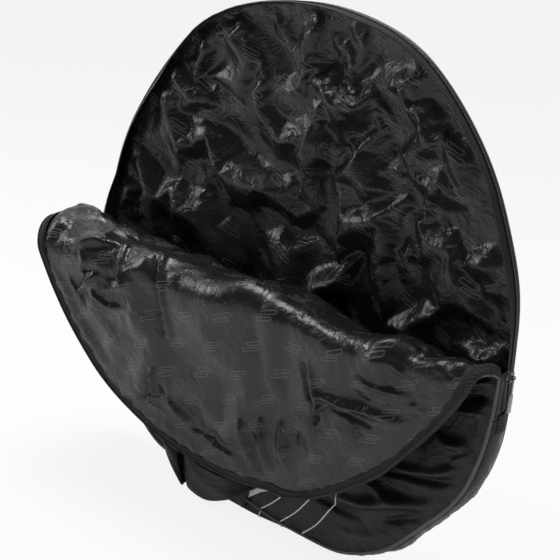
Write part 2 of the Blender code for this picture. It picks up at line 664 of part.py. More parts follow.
def make_handle(bag, look):
    frame = handle_frame()
    swing = joint_empty("handle_joint", bag)
    swing.matrix_world = frame
    half_span = HANDLE_SPAN / 2
    outer = handle_arch(half_span, HANDLE_REACH)
    inner = handle_arch(half_span - HANDLE_THICKNESS, HANDLE_REACH - HANDLE_THICKNESS)
    surface = bmesh.new()
    rows = [[surface.verts.new((x, y, 0)) for x, y in row] for row in (outer, inner)]
    for index in range(HANDLE_STEPS):
        surface.faces.new((rows[0][index], rows[0][index + 1], rows[1][index + 1], rows[1][index]))
    surface.normal_update()
    for face in surface.faces:
        if face.normal.z < 0:
            face.normal_flip()
    mesh = bpy.data.meshes.new("handle_strap")
    surface.to_mesh(mesh)
    surface.free()
    strap = add_object("handle_strap", mesh, bag, look["webbing"], swing)
    thicken(strap, HANDLE_WIDTH)
    for side, name in ((-1, "handle_patch_left"), (1, "handle_patch_right")):
        near, far = sorted((side * (half_span + GAP), side * (half_span + GAP + PATCH_LENGTH)))
        mesh = add_box((near, -PATCH_THICKNESS, -HANDLE_WIDTH), (far, 0, 0))
        mesh.transform(frame)
        mesh.materials.append(look["webbing"])
        patch = bpy.data.objects.new(name, mesh)
        bag.objects.link(patch)


def clear_scene():
    for thing in list(bpy.data.objects):
        bpy.data.objects.remove(thing, do_unlink=True)


def main():
    clear_scene()
    bag = bpy.data.collections.new("bike_wheel_bag")
    tools = bpy.data.collections.new("cutters")
    bpy.context.scene.collection.children.link(bag)
    bpy.context.scene.collection.children.link(tools)
    look = make_materials()
    make_back(bag, look)
    make_front_panel(bag, look)
    make_gusset(bag, look)
    make_zip(bag, look)
    make_flap(bag, look)
    make_slider(bag, tools, look)
    make_handle(bag, look)


main()
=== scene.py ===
"""Bike wheel bag: its cloth, zip, handle and finishes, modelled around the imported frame.

The bag is sewn from flat cuts. Each cut is a grid whose place is worked out from the flat pattern: the seam
line, the depth across the bag, and the two bends of the open flap. The crumple of the satin comes from cloth
simulations of flat sheets, laid onto the cuts.
"""
import json
import math

import bpy
import numpy as np
from mathutils import Matrix, Vector, noise


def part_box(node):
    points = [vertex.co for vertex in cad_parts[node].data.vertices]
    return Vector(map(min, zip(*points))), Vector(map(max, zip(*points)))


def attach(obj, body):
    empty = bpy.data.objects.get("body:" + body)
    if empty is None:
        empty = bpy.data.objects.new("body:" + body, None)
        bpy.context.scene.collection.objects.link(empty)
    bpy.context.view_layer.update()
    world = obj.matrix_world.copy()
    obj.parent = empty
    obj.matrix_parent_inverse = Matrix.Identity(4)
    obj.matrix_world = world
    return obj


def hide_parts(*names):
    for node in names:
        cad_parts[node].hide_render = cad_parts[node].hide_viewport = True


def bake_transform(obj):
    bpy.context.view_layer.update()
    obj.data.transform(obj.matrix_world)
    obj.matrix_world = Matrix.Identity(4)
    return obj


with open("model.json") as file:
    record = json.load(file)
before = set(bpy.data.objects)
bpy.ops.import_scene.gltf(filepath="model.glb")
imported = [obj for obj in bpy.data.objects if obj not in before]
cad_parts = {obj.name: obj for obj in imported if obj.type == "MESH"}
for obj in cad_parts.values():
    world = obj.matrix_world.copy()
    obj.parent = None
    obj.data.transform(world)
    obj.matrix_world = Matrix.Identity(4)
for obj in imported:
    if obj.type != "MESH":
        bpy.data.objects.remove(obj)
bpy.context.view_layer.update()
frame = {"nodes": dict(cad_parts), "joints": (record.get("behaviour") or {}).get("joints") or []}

bl_info = {
    "name": "Bike wheel bag",
    "version": (1, 0, 0),
    "blender": (4, 5, 0),
    "location": "3D View > Sidebar > Wheel bag",
    "description": "Builds the cloth, zip, handle and finishes of a padded bike wheel bag",
    "category": "Object",
}


def metres(values):
    """A number or nested tuple in millimetres, turned into metres."""
    return tuple(metres(value) for value in values) if isinstance(values, tuple) else values / 1000


# The frame's own sizes, in metres
JOINTS = {joint["name"]: joint for joint in frame["joints"]}
FOLD_Y, CENTRE_HEIGHT = JOINTS["flap_fold"]["pos_m"][1:]
ROOT_ANGLE = math.radians(-JOINTS["flap_fold"]["range_deg"][0])
FLAP_ANGLE = math.radians(-JOINTS["flap_bend"]["range_deg"][0])
FRONT_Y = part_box("front_panel_shell")[0][1]
BACK_Y = -FRONT_Y
SIDE_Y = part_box("gusset_lower")[1][1]
TAPE_NEAR, TAPE_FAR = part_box("zip_tape_gusset")[0][1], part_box("zip_tape_gusset")[1][1]
FRONT_TAPE_NEAR, FRONT_TAPE_FAR = (corner[1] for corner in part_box("zip_tape_stub_right"))
COIL_NEAR, COIL_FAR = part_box("zip_coil_gusset")[0][1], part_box("zip_coil_gusset")[1][1]
FRONT_COIL_Y = sum(corner[1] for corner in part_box("zip_coil_stub_right")) / 2
STRIP_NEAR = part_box("gusset_upper_strip")[0][1]
FRONT_STRIP_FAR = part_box("gusset_front_stub_right")[1][1]
BINDING_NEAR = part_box("rim_binding")[0][1]
LINING_BACK_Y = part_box("back_panel_lining")[0][1]
LINING_FRONT_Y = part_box("front_panel_lining")[1][1]
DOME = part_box("back_panel_shell")[1][1] - BACK_Y

# The bend line of the flap, on the shut flap: a point at its right end and its direction
BEND_POINT = Vector((JOINTS["flap_bend"]["pos_m"][0],
                     math.dist(JOINTS["flap_bend"]["pos_m"][1:], (FOLD_Y, CENTRE_HEIGHT))))
BEND_AXIS = JOINTS["flap_bend"]["axis"]
BEND_DIRECTION = Vector((BEND_AXIS[0], -math.hypot(BEND_AXIS[1], BEND_AXIS[2])))
RADIUS = BEND_POINT.length

# Shares of the radius that the seam line has at each angle in degrees, from +X upwards
SEAM_ANGLES = (0, 12, 24, 35, 47, 56, 64, 72, 82, 95, 110, 120, 133, 147, 160, 172, 178, 192, 204, 270, 300,
               310, 319, 327, 333, 340, 348, 352, 356, 360)
SEAM_SHARES = (0.995, 0.990, 0.978, 0.992, 1.006, 1.022, 1.033, 1.021, 1.009, 0.993, 0.998, 1.0, 0.978,
               0.971, 0.984, 0.990, 0.993, 0.993, 1.0, 1.0, 1.012, 1.026, 1.008, 1.016, 1.030, 1.020, 1.010,
               1.0, 1.0, 0.995)
SEAM_SPREAD = 5.0
TABLE_STEPS = 1440

# How far the free edge behind the zip leans inwards at each angle, in millimetres
LEAN_ANGLES = (0, 110, 125, 140, 168, 176, 180)
LEANS = metres((0, 0, 8, 17, 16, 6, 0))

# The angles between which the zip, its two short ends and the seams below it run
ZIP_END = math.radians(9.0)
ZIP_SPAN = (-ZIP_END, math.pi + ZIP_END)
LOW_SPAN = (math.pi + ZIP_END, 2 * math.pi - ZIP_END)
TAPE_TUCK, COIL_STOP = math.radians(2.5), math.radians(1)

# The foot that the side strip makes on the floor, and sizes of what is sewn on
FOOT_HEIGHT, FOOT_FORWARD = 0.0030, 0.012
PIPING_RADIUS = 0.0023
PIPING_Y = BACK_Y - 0.0009
CLOTH = 0.001
TAPE_CLOTH = 0.0009
LAP = 0.001
CORD_STEP = 0.004

# How far inside the seam line each piece lies
BACK_INSET, BACK_LINING_INSET, FRONT_INSET = 0.003, 0.0045, 0.003
SIDE_LINING_INSET, BINDING_INSET, PIPING_INSET = 0.0065, 0.0026, 0.0022
TAPE_INSET, COIL_INSET, TAB_INSET = 0.0013, 0.0020, -0.0011

# How far the linings stay off the outer cloth, and how much of the simulated crumple they take
BACK_CLEARANCE, FRONT_CLEARANCE = 0.003, 0.0025
BACK_CRUMPLE_GAIN, BACK_FOLD_GAIN, COVER_CRUMPLE_GAIN = 1.9, 1.3, 0.8

# Shares of the radius at which the front panel ends, and the root at its left and right end
LOW_SHARE, ROOT_SHARES = -0.05, (0.16, 0.062)

# Crests of the back panel's main folds, as shares of the radius, and the share of the full height
MAIN_FOLD_SHARES = (
    (-0.48, 0.55, -0.09, 0.64, 1.0), (-0.09, 0.64, 0.23, 0.70, 1.0), (-0.07, 0.56, 0.13, 0.46, 1.0),
    (0.13, 0.46, 0.44, 0.46, 0.9), (-0.42, 0.50, -0.44, 0.36, 0.6), (-0.44, 0.36, -0.20, 0.32, 0.6),
    (-0.60, 0.34, -0.58, 0.12, 0.9), (-0.72, -0.04, -0.56, -0.14, 0.8), (0.42, 0.33, 0.62, 0.20, 0.5),
    (0.62, 0.20, 0.66, 0.02, 0.8), (0.45, 0.08, 0.37, 0.24, 0.6), (-0.55, -0.35, -0.22, -0.52, 0.9),
    (0.02, -0.48, 0.20, -0.64, 0.9), (0.38, -0.52, 0.62, -0.28, 0.9),
)
MAIN_FOLD_HEIGHT, MAIN_FOLD_WIDTH = 0.009, 0.055

# Folds of the flap's lining, in millimetres: points across and above the disc centre on the flat cut, width
# and height
LINING_FOLDS = metres((
    (((-133, 72), (-111, 115), (-91, 185)), 4.5, -5),
    (((-123, 72), (-100, 115), (-80, 186)), 6, 4.2),
    (((-98, 245), (-98, 306)), 5, 5.8),
    (((-108, 250), (-108, 300)), 4, -3),
    (((-128, 311), (-102, 300), (-77, 315)), 4.5, 5),
    (((-109, 284), (-90, 296), (-66, 290)), 4.5, 4.5),
    (((-72, 280), (-45, 305), (-28, 322)), 12, 9.5),
    (((-30, 322), (8, 326), (42, 334)), 6, 7.5),
    (((-60, 262), (-22, 300), (12, 312)), 6, -4.5),
    (((58, 262), (68, 300), (80, 338)), 9, 8.5),
    (((73, 262), (84, 300), (96, 334)), 6, -3.5),
    (((88, 250), (100, 290), (110, 328)), 8, 8),
    (((122, 232), (130, 268), (142, 304)), 9, 7.5),
    (((138, 118), (154, 146), (168, 170), (180, 198)), 4.5, -6.5),
    (((150, 112), (166, 142), (180, 168), (192, 196)), 8, 5.5),
    (((160, 168), (178, 172), (196, 160)), 5, 5),
    (((178, 150), (215, 146), (258, 138), (306, 134)), 11, 8),
    (((186, 166), (222, 163), (262, 160)), 6, -4),
    (((150, 244), (152, 286)), 5, -4),
    (((-262, 118), (-230, 98), (-196, 82)), 6, 7),
    (((-250, 188), (-224, 158), (-205, 128)), 5.5, 6.5),
    (((-236, 142), (-205, 135), (-172, 140)), 5.5, -6),
    (((-215, 170), (-186, 182), (-160, 176)), 5.5, 5.5),
    (((-192, 78), (-176, 110), (-158, 142)), 5.5, 6),
    (((-280, 150), (-262, 178), (-236, 205)), 6, 5),
    (((-28, 80), (-38, 50), (-52, 20)), 3.5, -3),
    (((40, 52), (20, 34), (4, 12)), 3.5, -3),
    (((118, 62), (104, 40), (84, 16)), 3.5, -3.4),
    (((205, 48), (235, 62), (270, 56), (300, 70)), 5, 4.2),
    (((225, 90), (262, 96), (300, 90)), 6, 3.8),
    (((285, 30), (292, 70), (310, 98)), 4, -3),
))
# Where the flap's lining is crumpled: across, above, reach and strength
LINING_SPOTS = ((-0.205, 0.130, 0.085, 0.85), (-0.300, 0.120, 0.060, 0.45), (0.275, 0.070, 0.090, 0.60),
                (-0.090, 0.300, 0.055, 0.50), (0.190, 0.200, 0.050, 0.35), (0.330, 0.050, 0.050, 0.45),
                (0.020, 0.330, 0.050, 0.40), (-0.330, 0.030, 0.060, 0.50))
LINING_BASE_CRUMPLE, LINING_TOP_CRUMPLE = 0.13, 0.42

# Folds of the front panel's outer cloth, in the same way
COVER_FOLDS = metres((
    (((163, -250), (212, -236), (259, -216), (318, -198)), 10, 9.5),
    (((222, -188), (268, -174), (313, -164), (330, -158)), 7, -7),
    (((296, -160), (330, -140), (364, -118)), 10, 7.5),
    (((300, -106), (320, -108), (343, -104)), 8, 6.5),
    (((244, -166), (268, -164), (292, -160)), 8, 6),
    (((330, -126), (346, -114), (364, -100)), 7, 6),
    (((362, -34), (361, -68), (359, -102)), 10, 5),
    (((322, -26), (345, -18), (370, -10)), 6, 8),
    (((325, -46), (345, -40), (371, -32)), 5.5, -8),
    (((314, -62), (340, -58), (366, -52)), 7, 5.5),
    (((200, -206), (234, -216), (260, -210)), 7, 5.5),
    (((120, -268), (160, -270), (205, -262)), 8, -4.5),
    (((240, -250), (280, -232), (306, -216)), 7, -5),
    (((170, -300), (230, -282), (280, -250)), 12, 4.5),
    (((-320, -80), (-260, -120), (-210, -190)), 12, 7),
    (((-290, -30), (-230, -50), (-160, -40)), 12, 6),
    (((-100, -150), (-30, -180), (60, -170)), 14, 6),
))

# Height factors of the folds above, and how much the flap's lining swells between them
FOLD_GAIN, SWELL_GAIN = 1.6, 1.1

# The edge strip of the open flap: how far it is folded in over the lining at each angle of the seam, the
# length of its bend, and the share of its width that stays at each angle
EDGE_ANGLES = (0, 3, 8, 148, 156, 166, 180)
EDGE_TURNS = (30, 80, 98, 98, 82, 55, 10)
EDGE_BASE, EDGE_BEND = 0.0035, 0.009
EDGE_SHARE_ANGLES, EDGE_SHARES = (0, 4, 171, 180), (0.65, 1.0, 1.0, 0.35)

# How far the flap's cloth is drawn in at each angle of the seam, by its slack, in millimetres
SLACK_ANGLES = (0, 6, 15, 26, 37, 48, 59, 70, 81, 92, 103, 114, 125, 136, 147, 158, 170)
SLACKS = metres((0, 6, 12, 17, 24, 26, 24, 17, 8, 0, -4, -4, -6, -6, -4,
          1, 0))

# The lining's bulge at the left end of the flap's root, in millimetres: across, above, reach and height
ROOT_BULGE = metres((-334, 46, 44, 23))

# The parts of the flap's edge that hang on the root and on the main flap, and their angles
RIGHT_SPLIT, LEFT_SPLIT = math.radians(2.6), math.radians(173.0)
FLAP_PARTS = (("right", 0.0, RIGHT_SPLIT), ("main", RIGHT_SPLIT, LEFT_SPLIT), ("left", LEFT_SPLIT, math.pi))

# How far the flap's upper edge sags between two places across
SAG, SAG_START, SAG_END = 0.008, (0.105, 0.150), (0.285, 0.325)

# Teeth and stitches
TOOTH_WIDTH_SHARE, TOOTH_REACH, TOOTH_HEIGHT = 0.34, 0.0019, 0.0012
STITCH_LENGTH_SHARE, STITCH_HALF, FLAP_STITCH_DEPTH = 0.33, (0.00038, 0.00030), 0.0098

# The handle's strap, in metres, and the upper and lower edge of its loop from its left patch to its right
# one, in millimetres
STRAP_LENGTH, STRAP_WIDTH, STRAP_THICKNESS = 0.250, 0.042, 0.0030
STRAP_TOP = metres(((-184, -25.5, 88), (-172, -43, 84), (-153, -58, 73), (-120, -57, 60), (-124, -42, 64),
                    (-99, -55, 62), (-60, -57, 57), (-18, -56, 60), (-2, -44, 64), (2, -26.2, 64)))
STRAP_LOW = metres(((-172, -25.5, 50), (-149, -45, 38), (-112, -58, 19), (-102, -57, 13), (-104, -48, 13),
                    (-90, -56, 12), (-51, -57, 10), (-13, -56, 26), (0, -43, 36), (4, -26.2, 40)))
PATCH_HALF, PATCH_MARGIN = (0.0155, 0.0205), 0.003
PATCH_STITCH_STEP, PATCH_STITCH_HALF = 0.0034, 0.0013

# Stripes on the front panel, in millimetres: places across and above the disc centre, and the width
STRIPES = metres((
    (((-12, -328.5), (6, -313), (24, -299), (44, -290), (66, -283)), 7.8),
    (((22, -332.5), (47, -310), (69, -284.5), (88, -256)), 1.9),
    (((61, -335.5), (93, -303), (119, -265.5), (136, -235)), 1.9),
    (((99, -338.5), (128, -308), (150, -270.5), (160, -241.5), (166, -215)), 1.9),
    (((-69, -324), (-55, -319), (-41, -310.5), (-20, -296)), 1.9),
    (((-56, -327), (-48, -324), (-40, -318.5), (-22, -304)), 1.9),
    (((-100, -323), (-84, -315), (-68, -303)), 1.9),
))
# Places across at which stripes go on over the side strip
SIDE_STRIPES = (-0.012, 0.022, 0.061)
SIDE_STRIPE_TURN, STRIPE_THICKNESS = 0.005, 0.0004


def length_setting(name, description, default):
    return bpy.props.FloatProperty(name=name, description=description, default=default, unit="LENGTH")


def colour_setting(name, description, default):
    return bpy.props.FloatVectorProperty(name=name, description=description, default=default, subtype="COLOR")


class WHEELBAG_PG_sizes(bpy.types.PropertyGroup):
    """Sizes that shape the cloth."""
    cell: length_setting("Cloth cell", "Width of a grid cell on the large cuts", 0.0033)
    fine_cell: length_setting("Strip cell", "Length of a grid cell along strips and tapes", 0.003)
    seam_floor: length_setting("Seam height", "Height of the seams above the floor below the bag", 0.008)
    seam_rise: length_setting("Left rise", "How much higher the bottom seams are at the left", 0.016)
    side_bulge: length_setting("Side bulge", "How far the side strip bulges between its seams", 0.006)
    pinch: length_setting("Pinch", "How far the back seam is drawn in beside the slider", 0.009)
    fold_reach: length_setting("Fold reach", "Cloth on each side of the fold at the zip's chord", 0.011)
    bend_reach_left: length_setting(
        "Left bend reach", "Length of cloth on each side of the flap's bend, at the left", 0.040)
    bend_reach_right: length_setting(
        "Right bend reach", "Length of cloth on each side of the flap's bend, at the right", 0.011)
    growth: bpy.props.FloatProperty(
        name="Satin growth", description="How much larger the satin is than the panel it lines",
        default=0.045, subtype="FACTOR")
    tooth_pitch: length_setting("Tooth pitch", "Distance from tooth to tooth of the coil zip", 0.0022)
    stitch_pitch: length_setting("Stitch pitch", "Distance from stitch to stitch of the seams", 0.0042)


class WHEELBAG_PG_colours(bpy.types.PropertyGroup):
    """Colours of the finishes."""
    satin: colour_setting("Satin", "Lining", (0.0125, 0.0125, 0.013))
    satin_print: colour_setting("Satin print", "Small paired dashes on the lining", (0.085, 0.085, 0.087))
    nylon: colour_setting("Nylon", "Outer cloth", (0.0085, 0.0085, 0.009))
    tape: colour_setting("Tape", "Zip tape", (0.036, 0.036, 0.037))
    binding: colour_setting("Binding", "Binding tape", (0.045, 0.045, 0.046))
    coil: colour_setting("Coil", "Nylon teeth of the zip", (0.018, 0.018, 0.019))
    piping: colour_setting("Piping", "Cord in the seams", (0.070, 0.070, 0.072))
    webbing: colour_setting("Webbing", "Handle", (0.012, 0.012, 0.0125))
    thread: colour_setting("Thread", "Stitches", (0.040, 0.040, 0.042))
    metal: colour_setting("Slider metal", "Plated slider", (0.20, 0.20, 0.21))
    grip: colour_setting("Grip", "Moulded grip", (0.46, 0.46, 0.47))
    stripe: colour_setting("Stripe", "Reflective stripes", (0.80, 0.80, 0.82))


def sizes():
    return bpy.context.scene.wheel_bag_sizes


def colours():
    return bpy.context.scene.wheel_bag_colours


# Small helpers for meshes

AWAY = "away from the centre"


def deselect_all():
    for thing in bpy.context.selected_objects:
        thing.select_set(False)


def activate(piece):
    deselect_all()
    piece.select_set(True)
    bpy.context.view_layer.objects.active = piece


def read_points(piece):
    points = np.empty(len(piece.data.vertices) * 3)
    piece.data.vertices.foreach_get("co", points)
    return points.reshape(-1, 3)


def write_points(piece, points):
    piece.data.vertices.foreach_set("co", np.ascontiguousarray(points, dtype=np.float64).ravel())
    piece.data.update()


def write_cloth_map(piece, flat):
    """Stores each point's place on the flat cut, in metres, as the UV map that the weave follows."""
    mesh = piece.data
    corners = np.empty(len(mesh.loops), dtype=np.int32)
    mesh.loops.foreach_get("vertex_index", corners)
    while mesh.uv_layers:
        mesh.uv_layers.remove(mesh.uv_layers[0])
    layer = mesh.uv_layers.new(name="cloth")
    layer.data.foreach_set("uv", np.ascontiguousarray(flat[corners]).ravel())


def face_values(piece, kind):
    values = np.empty(len(piece.data.polygons) * 3)
    piece.data.polygons.foreach_get(kind, values)
    return values.reshape(-1, 3)


def turn_outwards(piece, facing):
    """Flips an open sheet whose faces don't point the way given, or away from the disc's centre."""
    away = face_values(piece, "center") - (0, 0, CENTRE_HEIGHT)
    wanted = away if facing == AWAY else np.array(facing, dtype=float)
    if float((face_values(piece, "normal") * wanted).sum()) < 0:
        piece.data.flip_normals()


def apply_modifier(piece, kind, **values):
    activate(piece)
    bpy.ops.object.modifier_add(type=kind)
    modifier = piece.modifiers[-1]
    for name, value in values.items():
        setattr(modifier, name, value)
    bpy.ops.object.modifier_apply(modifier=modifier.name)


def thicken(piece, thickness):
    apply_modifier(piece, "SOLIDIFY", thickness=thickness, offset=-1.0)


def round_edges(piece, width):
    apply_modifier(piece, "BEVEL", width=width, segments=2, limit_method="ANGLE")


def cloth_grid(name, columns, rows, place, facing=None, thickness=None):
    """A grid whose shares run from 0 to 1; place turns them into points and flat cloth coordinates."""
    deselect_all()
    bpy.ops.mesh.primitive_grid_add(x_subdivisions=columns, y_subdivisions=rows, size=1)
    piece = bpy.context.object
    piece.name = piece.data.name = name
    flat = read_points(piece)
    points, cloth = place(flat[:, 0] + 0.5, flat[:, 1] + 0.5)
    write_points(piece, points)
    write_cloth_map(piece, cloth)
    piece.data.shade_smooth()
    if facing:
        turn_outwards(piece, facing)
    if thickness:
        thicken(piece, thickness)
    return piece


def tube(name, points, closed=False):
    """The piping's round cord along the points, as a mesh with closed ends."""
    curve = bpy.data.curves.new(name, "CURVE")
    curve.dimensions = "3D"
    curve.bevel_depth = PIPING_RADIUS
    curve.bevel_resolution = 3
    curve.use_fill_caps = True
    spline = curve.splines.new("POLY")
    spline.points.add(len(points) - 1)
    spline.points.foreach_set("co", np.column_stack([points, np.ones(len(points))]).ravel())
    spline.use_cyclic_u = closed
    piece = bpy.data.objects.new(name, curve)
    bpy.context.scene.collection.objects.link(piece)
    activate(piece)
    bpy.ops.object.convert(target="MESH")
    piece = bpy.context.object
    apply_modifier(piece, "WELD", merge_threshold=0.00001)
    piece.data.shade_smooth()
    return piece


def step_between(low, high, values):
    """0 below low, 1 above high, smooth between them."""
    share = np.clip((values - low) / (high - low), 0, 1)
    return share * share * (3 - 2 * share)


def smooth_path(points, share):
    """Places along a smooth curve through the points, at shares of it from 0 to 1."""
    points = np.array(points, dtype=float)
    place = np.clip(share, 0, 1) * (len(points) - 1)
    first = np.minimum(place.astype(int), len(points) - 2)
    found = 0
    for offset, weight in zip((-1, 0, 1, 2), cubic_weights(place - first)):
        found = found + points[np.clip(first + offset, 0, len(points) - 1)] * weight[:, None]
    return found


def cubic_weights(share):
    """How much the four neighbours of a place count on a smooth curve."""
    return (
        -0.5 * share + share ** 2 - 0.5 * share ** 3,
        1 - 2.5 * share ** 2 + 1.5 * share ** 3,
        0.5 * share + 2 * share ** 2 - 1.5 * share ** 3,
        -0.5 * share ** 2 + 0.5 * share ** 3,
    )


# The seam line

def seam_table(rise):
    angles = np.linspace(0, 2 * math.pi, TABLE_STEPS + 1)
    spread = np.linspace(-SEAM_SPREAD, SEAM_SPREAD, 11)
    share = sum(np.interp(np.mod(np.degrees(angles) + shift, 360), SEAM_ANGLES, SEAM_SHARES)
                for shift in spread) / len(spread)
    across = RADIUS * share * np.cos(angles)
    up = RADIUS * share * np.sin(angles)
    floor = sizes().seam_floor + rise * (1 - step_between(-0.08, 0.075, across)) - CENTRE_HEIGHT
    up = 0.5 * (up + floor + np.sqrt((up - floor) ** 2 + 0.012 ** 2))
    normal_across, normal_up = np.gradient(up, angles), -np.gradient(across, angles)
    length = np.hypot(normal_across, normal_up)
    return angles, across, up, normal_across / length, normal_up / length


SEAM = {}


def seam(angle, depth=-SIDE_Y):
    """The seam line's place across and above the disc centre, and its outward normal.

    At the front its bottom rises towards the left, and further back it lies flat.
    """
    if not SEAM:
        SEAM["raised"], SEAM["flat"] = seam_table(sizes().seam_rise), seam_table(0.0)
    angle = np.mod(angle, 2 * math.pi)
    back = step_between(-SIDE_Y, -SIDE_Y + 0.014, depth)
    found = []
    for raised, flat in zip(SEAM["raised"][1:], SEAM["flat"][1:]):
        near, far = np.interp(angle, SEAM["raised"][0], raised), np.interp(angle, SEAM["flat"][0], flat)
        found.append(near + (far - near) * back)
    return found


def seam_inset(angle, inset, depth=-SIDE_Y):
    across, up, normal_across, normal_up = seam(angle, depth)
    return across - normal_across * inset, up - normal_up * inset


def pinch(angle, depth):
    """How far the seams are drawn in beside the slider, at the back more than at the front."""
    turned = np.mod(angle + math.pi, 2 * math.pi) - math.pi
    return sizes().pinch * np.exp(-(turned / math.radians(13)) ** 2) * step_between(-0.010, SIDE_Y, depth)


def wander(values, scale, seed):
    """A smooth wander between about -1 and 1 along one value."""
    waves = ((1.0, 1.7, 0.45), (2.3, 2.9, 0.3), (4.1, 0.6, 0.2), (7.7, 5.1, 0.12))
    return sum(np.sin(values * scale * rate + seed * phase) * share for rate, phase, share in waves)


def side_points(angle, depth, inset):
    """Points of the side strip: its bulge below the zip, and the waves of its free edge above it."""
    across, up, normal_across, normal_up = seam(angle, depth)
    turned = np.mod(angle + math.pi / 2, 2 * math.pi) - math.pi / 2
    below = step_between(0.0, 0.35, -np.sin(turned))
    round_share = np.clip(1 - (depth / SIDE_Y) ** 2, -0.2, 1)
    bulge = sizes().side_bulge * below * round_share
    puckers = 0.0018 * wander(turned, 9.0, 2.0) + 0.0014 * wander(turned + 2.5 * depth, 31.0, 5.0)
    bulge = bulge + puckers * below * np.clip(round_share, 0, 1)
    reach = np.clip((SIDE_Y - depth) / (2 * SIDE_Y), 0, 1)
    open_share = step_between(0.02, 0.25, np.sin(turned))
    waves = 0.004 * wander(turned, 3.0, 1.0) + 0.0016 * wander(turned, 13.0, 3.0)
    flare = open_share * reach * (waves - 0.002)
    lean = np.interp(np.degrees(np.mod(angle, 2 * math.pi)), LEAN_ANGLES, LEANS, right=0)
    lean = lean * np.clip((SIDE_Y - depth) / SIDE_Y, 0, 1)
    tuck = 0.0015 * np.clip((np.abs(depth) - SIDE_Y + 0.002) / 0.002, 0, 1)
    offset = bulge + flare - inset - tuck - lean - pinch(angle, depth)
    height = np.maximum(CENTRE_HEIGHT + up + normal_up * offset, 0.0004)
    foot = step_between(0.6, 0.95, -normal_up) * step_between(0.0, 0.007, SIDE_Y - np.abs(depth))
    foot = foot * step_between(-0.14, -0.06, across) * (1 - step_between(0.075, 0.13, across))
    height = height + (FOOT_HEIGHT + inset - height) * foot
    front = 1 - step_between(-SIDE_Y, -SIDE_Y + 0.024, depth)
    forward = FOOT_FORWARD * foot * front * (1 - step_between(0.0, 0.10, across))
    forward = forward * (1 - step_between(0.001, 0.004, inset))
    return np.column_stack([across + normal_across * offset, depth - forward, height])


# The front layer: closed coordinates and the two bends of the open flap

def fold_flap(across, up, depth):
    """Carries points of the shut front (across, above the centre, behind the fold line) to the open flap."""
    sag = SAG * step_between(*SAG_START, across) * (1 - step_between(*SAG_END, across))
    sag = sag * step_between(-0.05, 0.0, up)
    out = np.hypot(across, up)
    slack = np.interp(np.degrees(np.arctan2(up, across)), SLACK_ANGLES, SLACKS, left=0, right=0)
    keep = 1 - slack * step_between(0.35, 1.0, out / RADIUS) / np.maximum(out, 0.1 * RADIUS)
    across, up = across * keep, up * keep
    reach = np.interp(across, (-RADIUS, RADIUS), (sizes().bend_reach_left, sizes().bend_reach_right))
    radius = reach / math.tan(FLAP_ANGLE / 2)
    along = (across - BEND_POINT.x) * BEND_DIRECTION.x + (up - BEND_POINT.y) * BEND_DIRECTION.y
    beyond = -(across - BEND_POINT.x) * BEND_DIRECTION.y + (up - BEND_POINT.y) * BEND_DIRECTION.x
    turn = np.clip((beyond + reach) / (2 * reach), 0, 1) * FLAP_ANGLE
    rest = np.maximum(beyond - reach, 0)
    before = np.minimum(beyond + reach, 0)
    bent_up = before - reach + (radius + depth) * np.sin(turn) + rest * math.cos(FLAP_ANGLE)
    bent_out = radius - (radius + depth) * np.cos(turn) + rest * math.sin(FLAP_ANGLE)
    new_across = BEND_POINT.x + along * BEND_DIRECTION.x - bent_up * BEND_DIRECTION.y
    new_up = BEND_POINT.y + along * BEND_DIRECTION.y + bent_up * BEND_DIRECTION.x
    new_depth = -bent_out

    reach = sizes().fold_reach
    radius = reach / math.tan(ROOT_ANGLE / 2)
    turn = np.clip((np.where(turn > 0, reach, new_up) + reach) / (2 * reach), 0, 1) * ROOT_ANGLE
    rest = np.where(turn >= ROOT_ANGLE, new_up - reach, 0)
    before = np.where(turn <= 0, new_up + reach, 0)
    height = before - reach + (radius + new_depth) * np.sin(turn) + rest * math.cos(ROOT_ANGLE)
    forward = radius - (radius + new_depth) * np.cos(turn) + rest * math.sin(ROOT_ANGLE)
    return np.column_stack([new_across, FOLD_Y - forward, CENTRE_HEIGHT + height - sag])


def disc_shares(right, up):
    """Square coordinates from -1 to 1 turned into the unit disc."""
    across = right * np.sqrt(1 - up * up / 2)
    above = up * np.sqrt(1 - right * right / 2)
    return np.hypot(across, above), np.arctan2(above, across)


def panel_points(right, up, inset, depth=-SIDE_Y):
    """Flat places of a panel's grid, within the seam line."""
    share, angle = disc_shares(right, up)
    across, above = seam_inset(angle, inset + pinch(angle, depth), depth)
    return across * share, above * share, share


def share_at(across, above, inset):
    """How far out a place of a panel lies, from 0 at the centre to 1 at the seam."""
    edge_across, edge_above = seam_inset(np.arctan2(above, across), inset)
    return np.hypot(across, above) / np.hypot(edge_across, edge_above)


def at_least(value, floor, soft=0.002):
    """The larger of the two, rounded where they cross."""
    return 0.5 * (value + floor + np.sqrt((value - floor) ** 2 + soft ** 2))


# Crumpled cloth

class Crumple:
    """Displacements of a flat sheet, kept on a square grid and read at any place on it."""

    def __init__(self, moves, width, height):
        self.moves = moves
        self.width = width
        self.height = height

    def at(self, across, up):
        rows, columns = self.moves.shape[:2]
        place_x = np.clip((across / self.width + 0.5) * (columns - 1), 1, columns - 2.001)
        place_y = np.clip((up / self.height + 0.5) * (rows - 1), 1, rows - 2.001)
        first_x, first_y = place_x.astype(int), place_y.astype(int)
        found = 0
        for j, weight_y in enumerate(cubic_weights(place_y - first_y)):
            row = np.clip(first_y + j - 1, 0, rows - 1)
            for i, weight_x in enumerate(cubic_weights(place_x - first_x)):
                column = np.clip(first_x + i - 1, 0, columns - 1)
                found = found + self.moves[row, column] * (weight_x * weight_y)[:, None]
        return found


def noise_field(points, scale, offset, octaves=3):
    return np.array([noise.fractal(Vector(point) * scale + offset, 0.6, 2.1, octaves) for point in points])


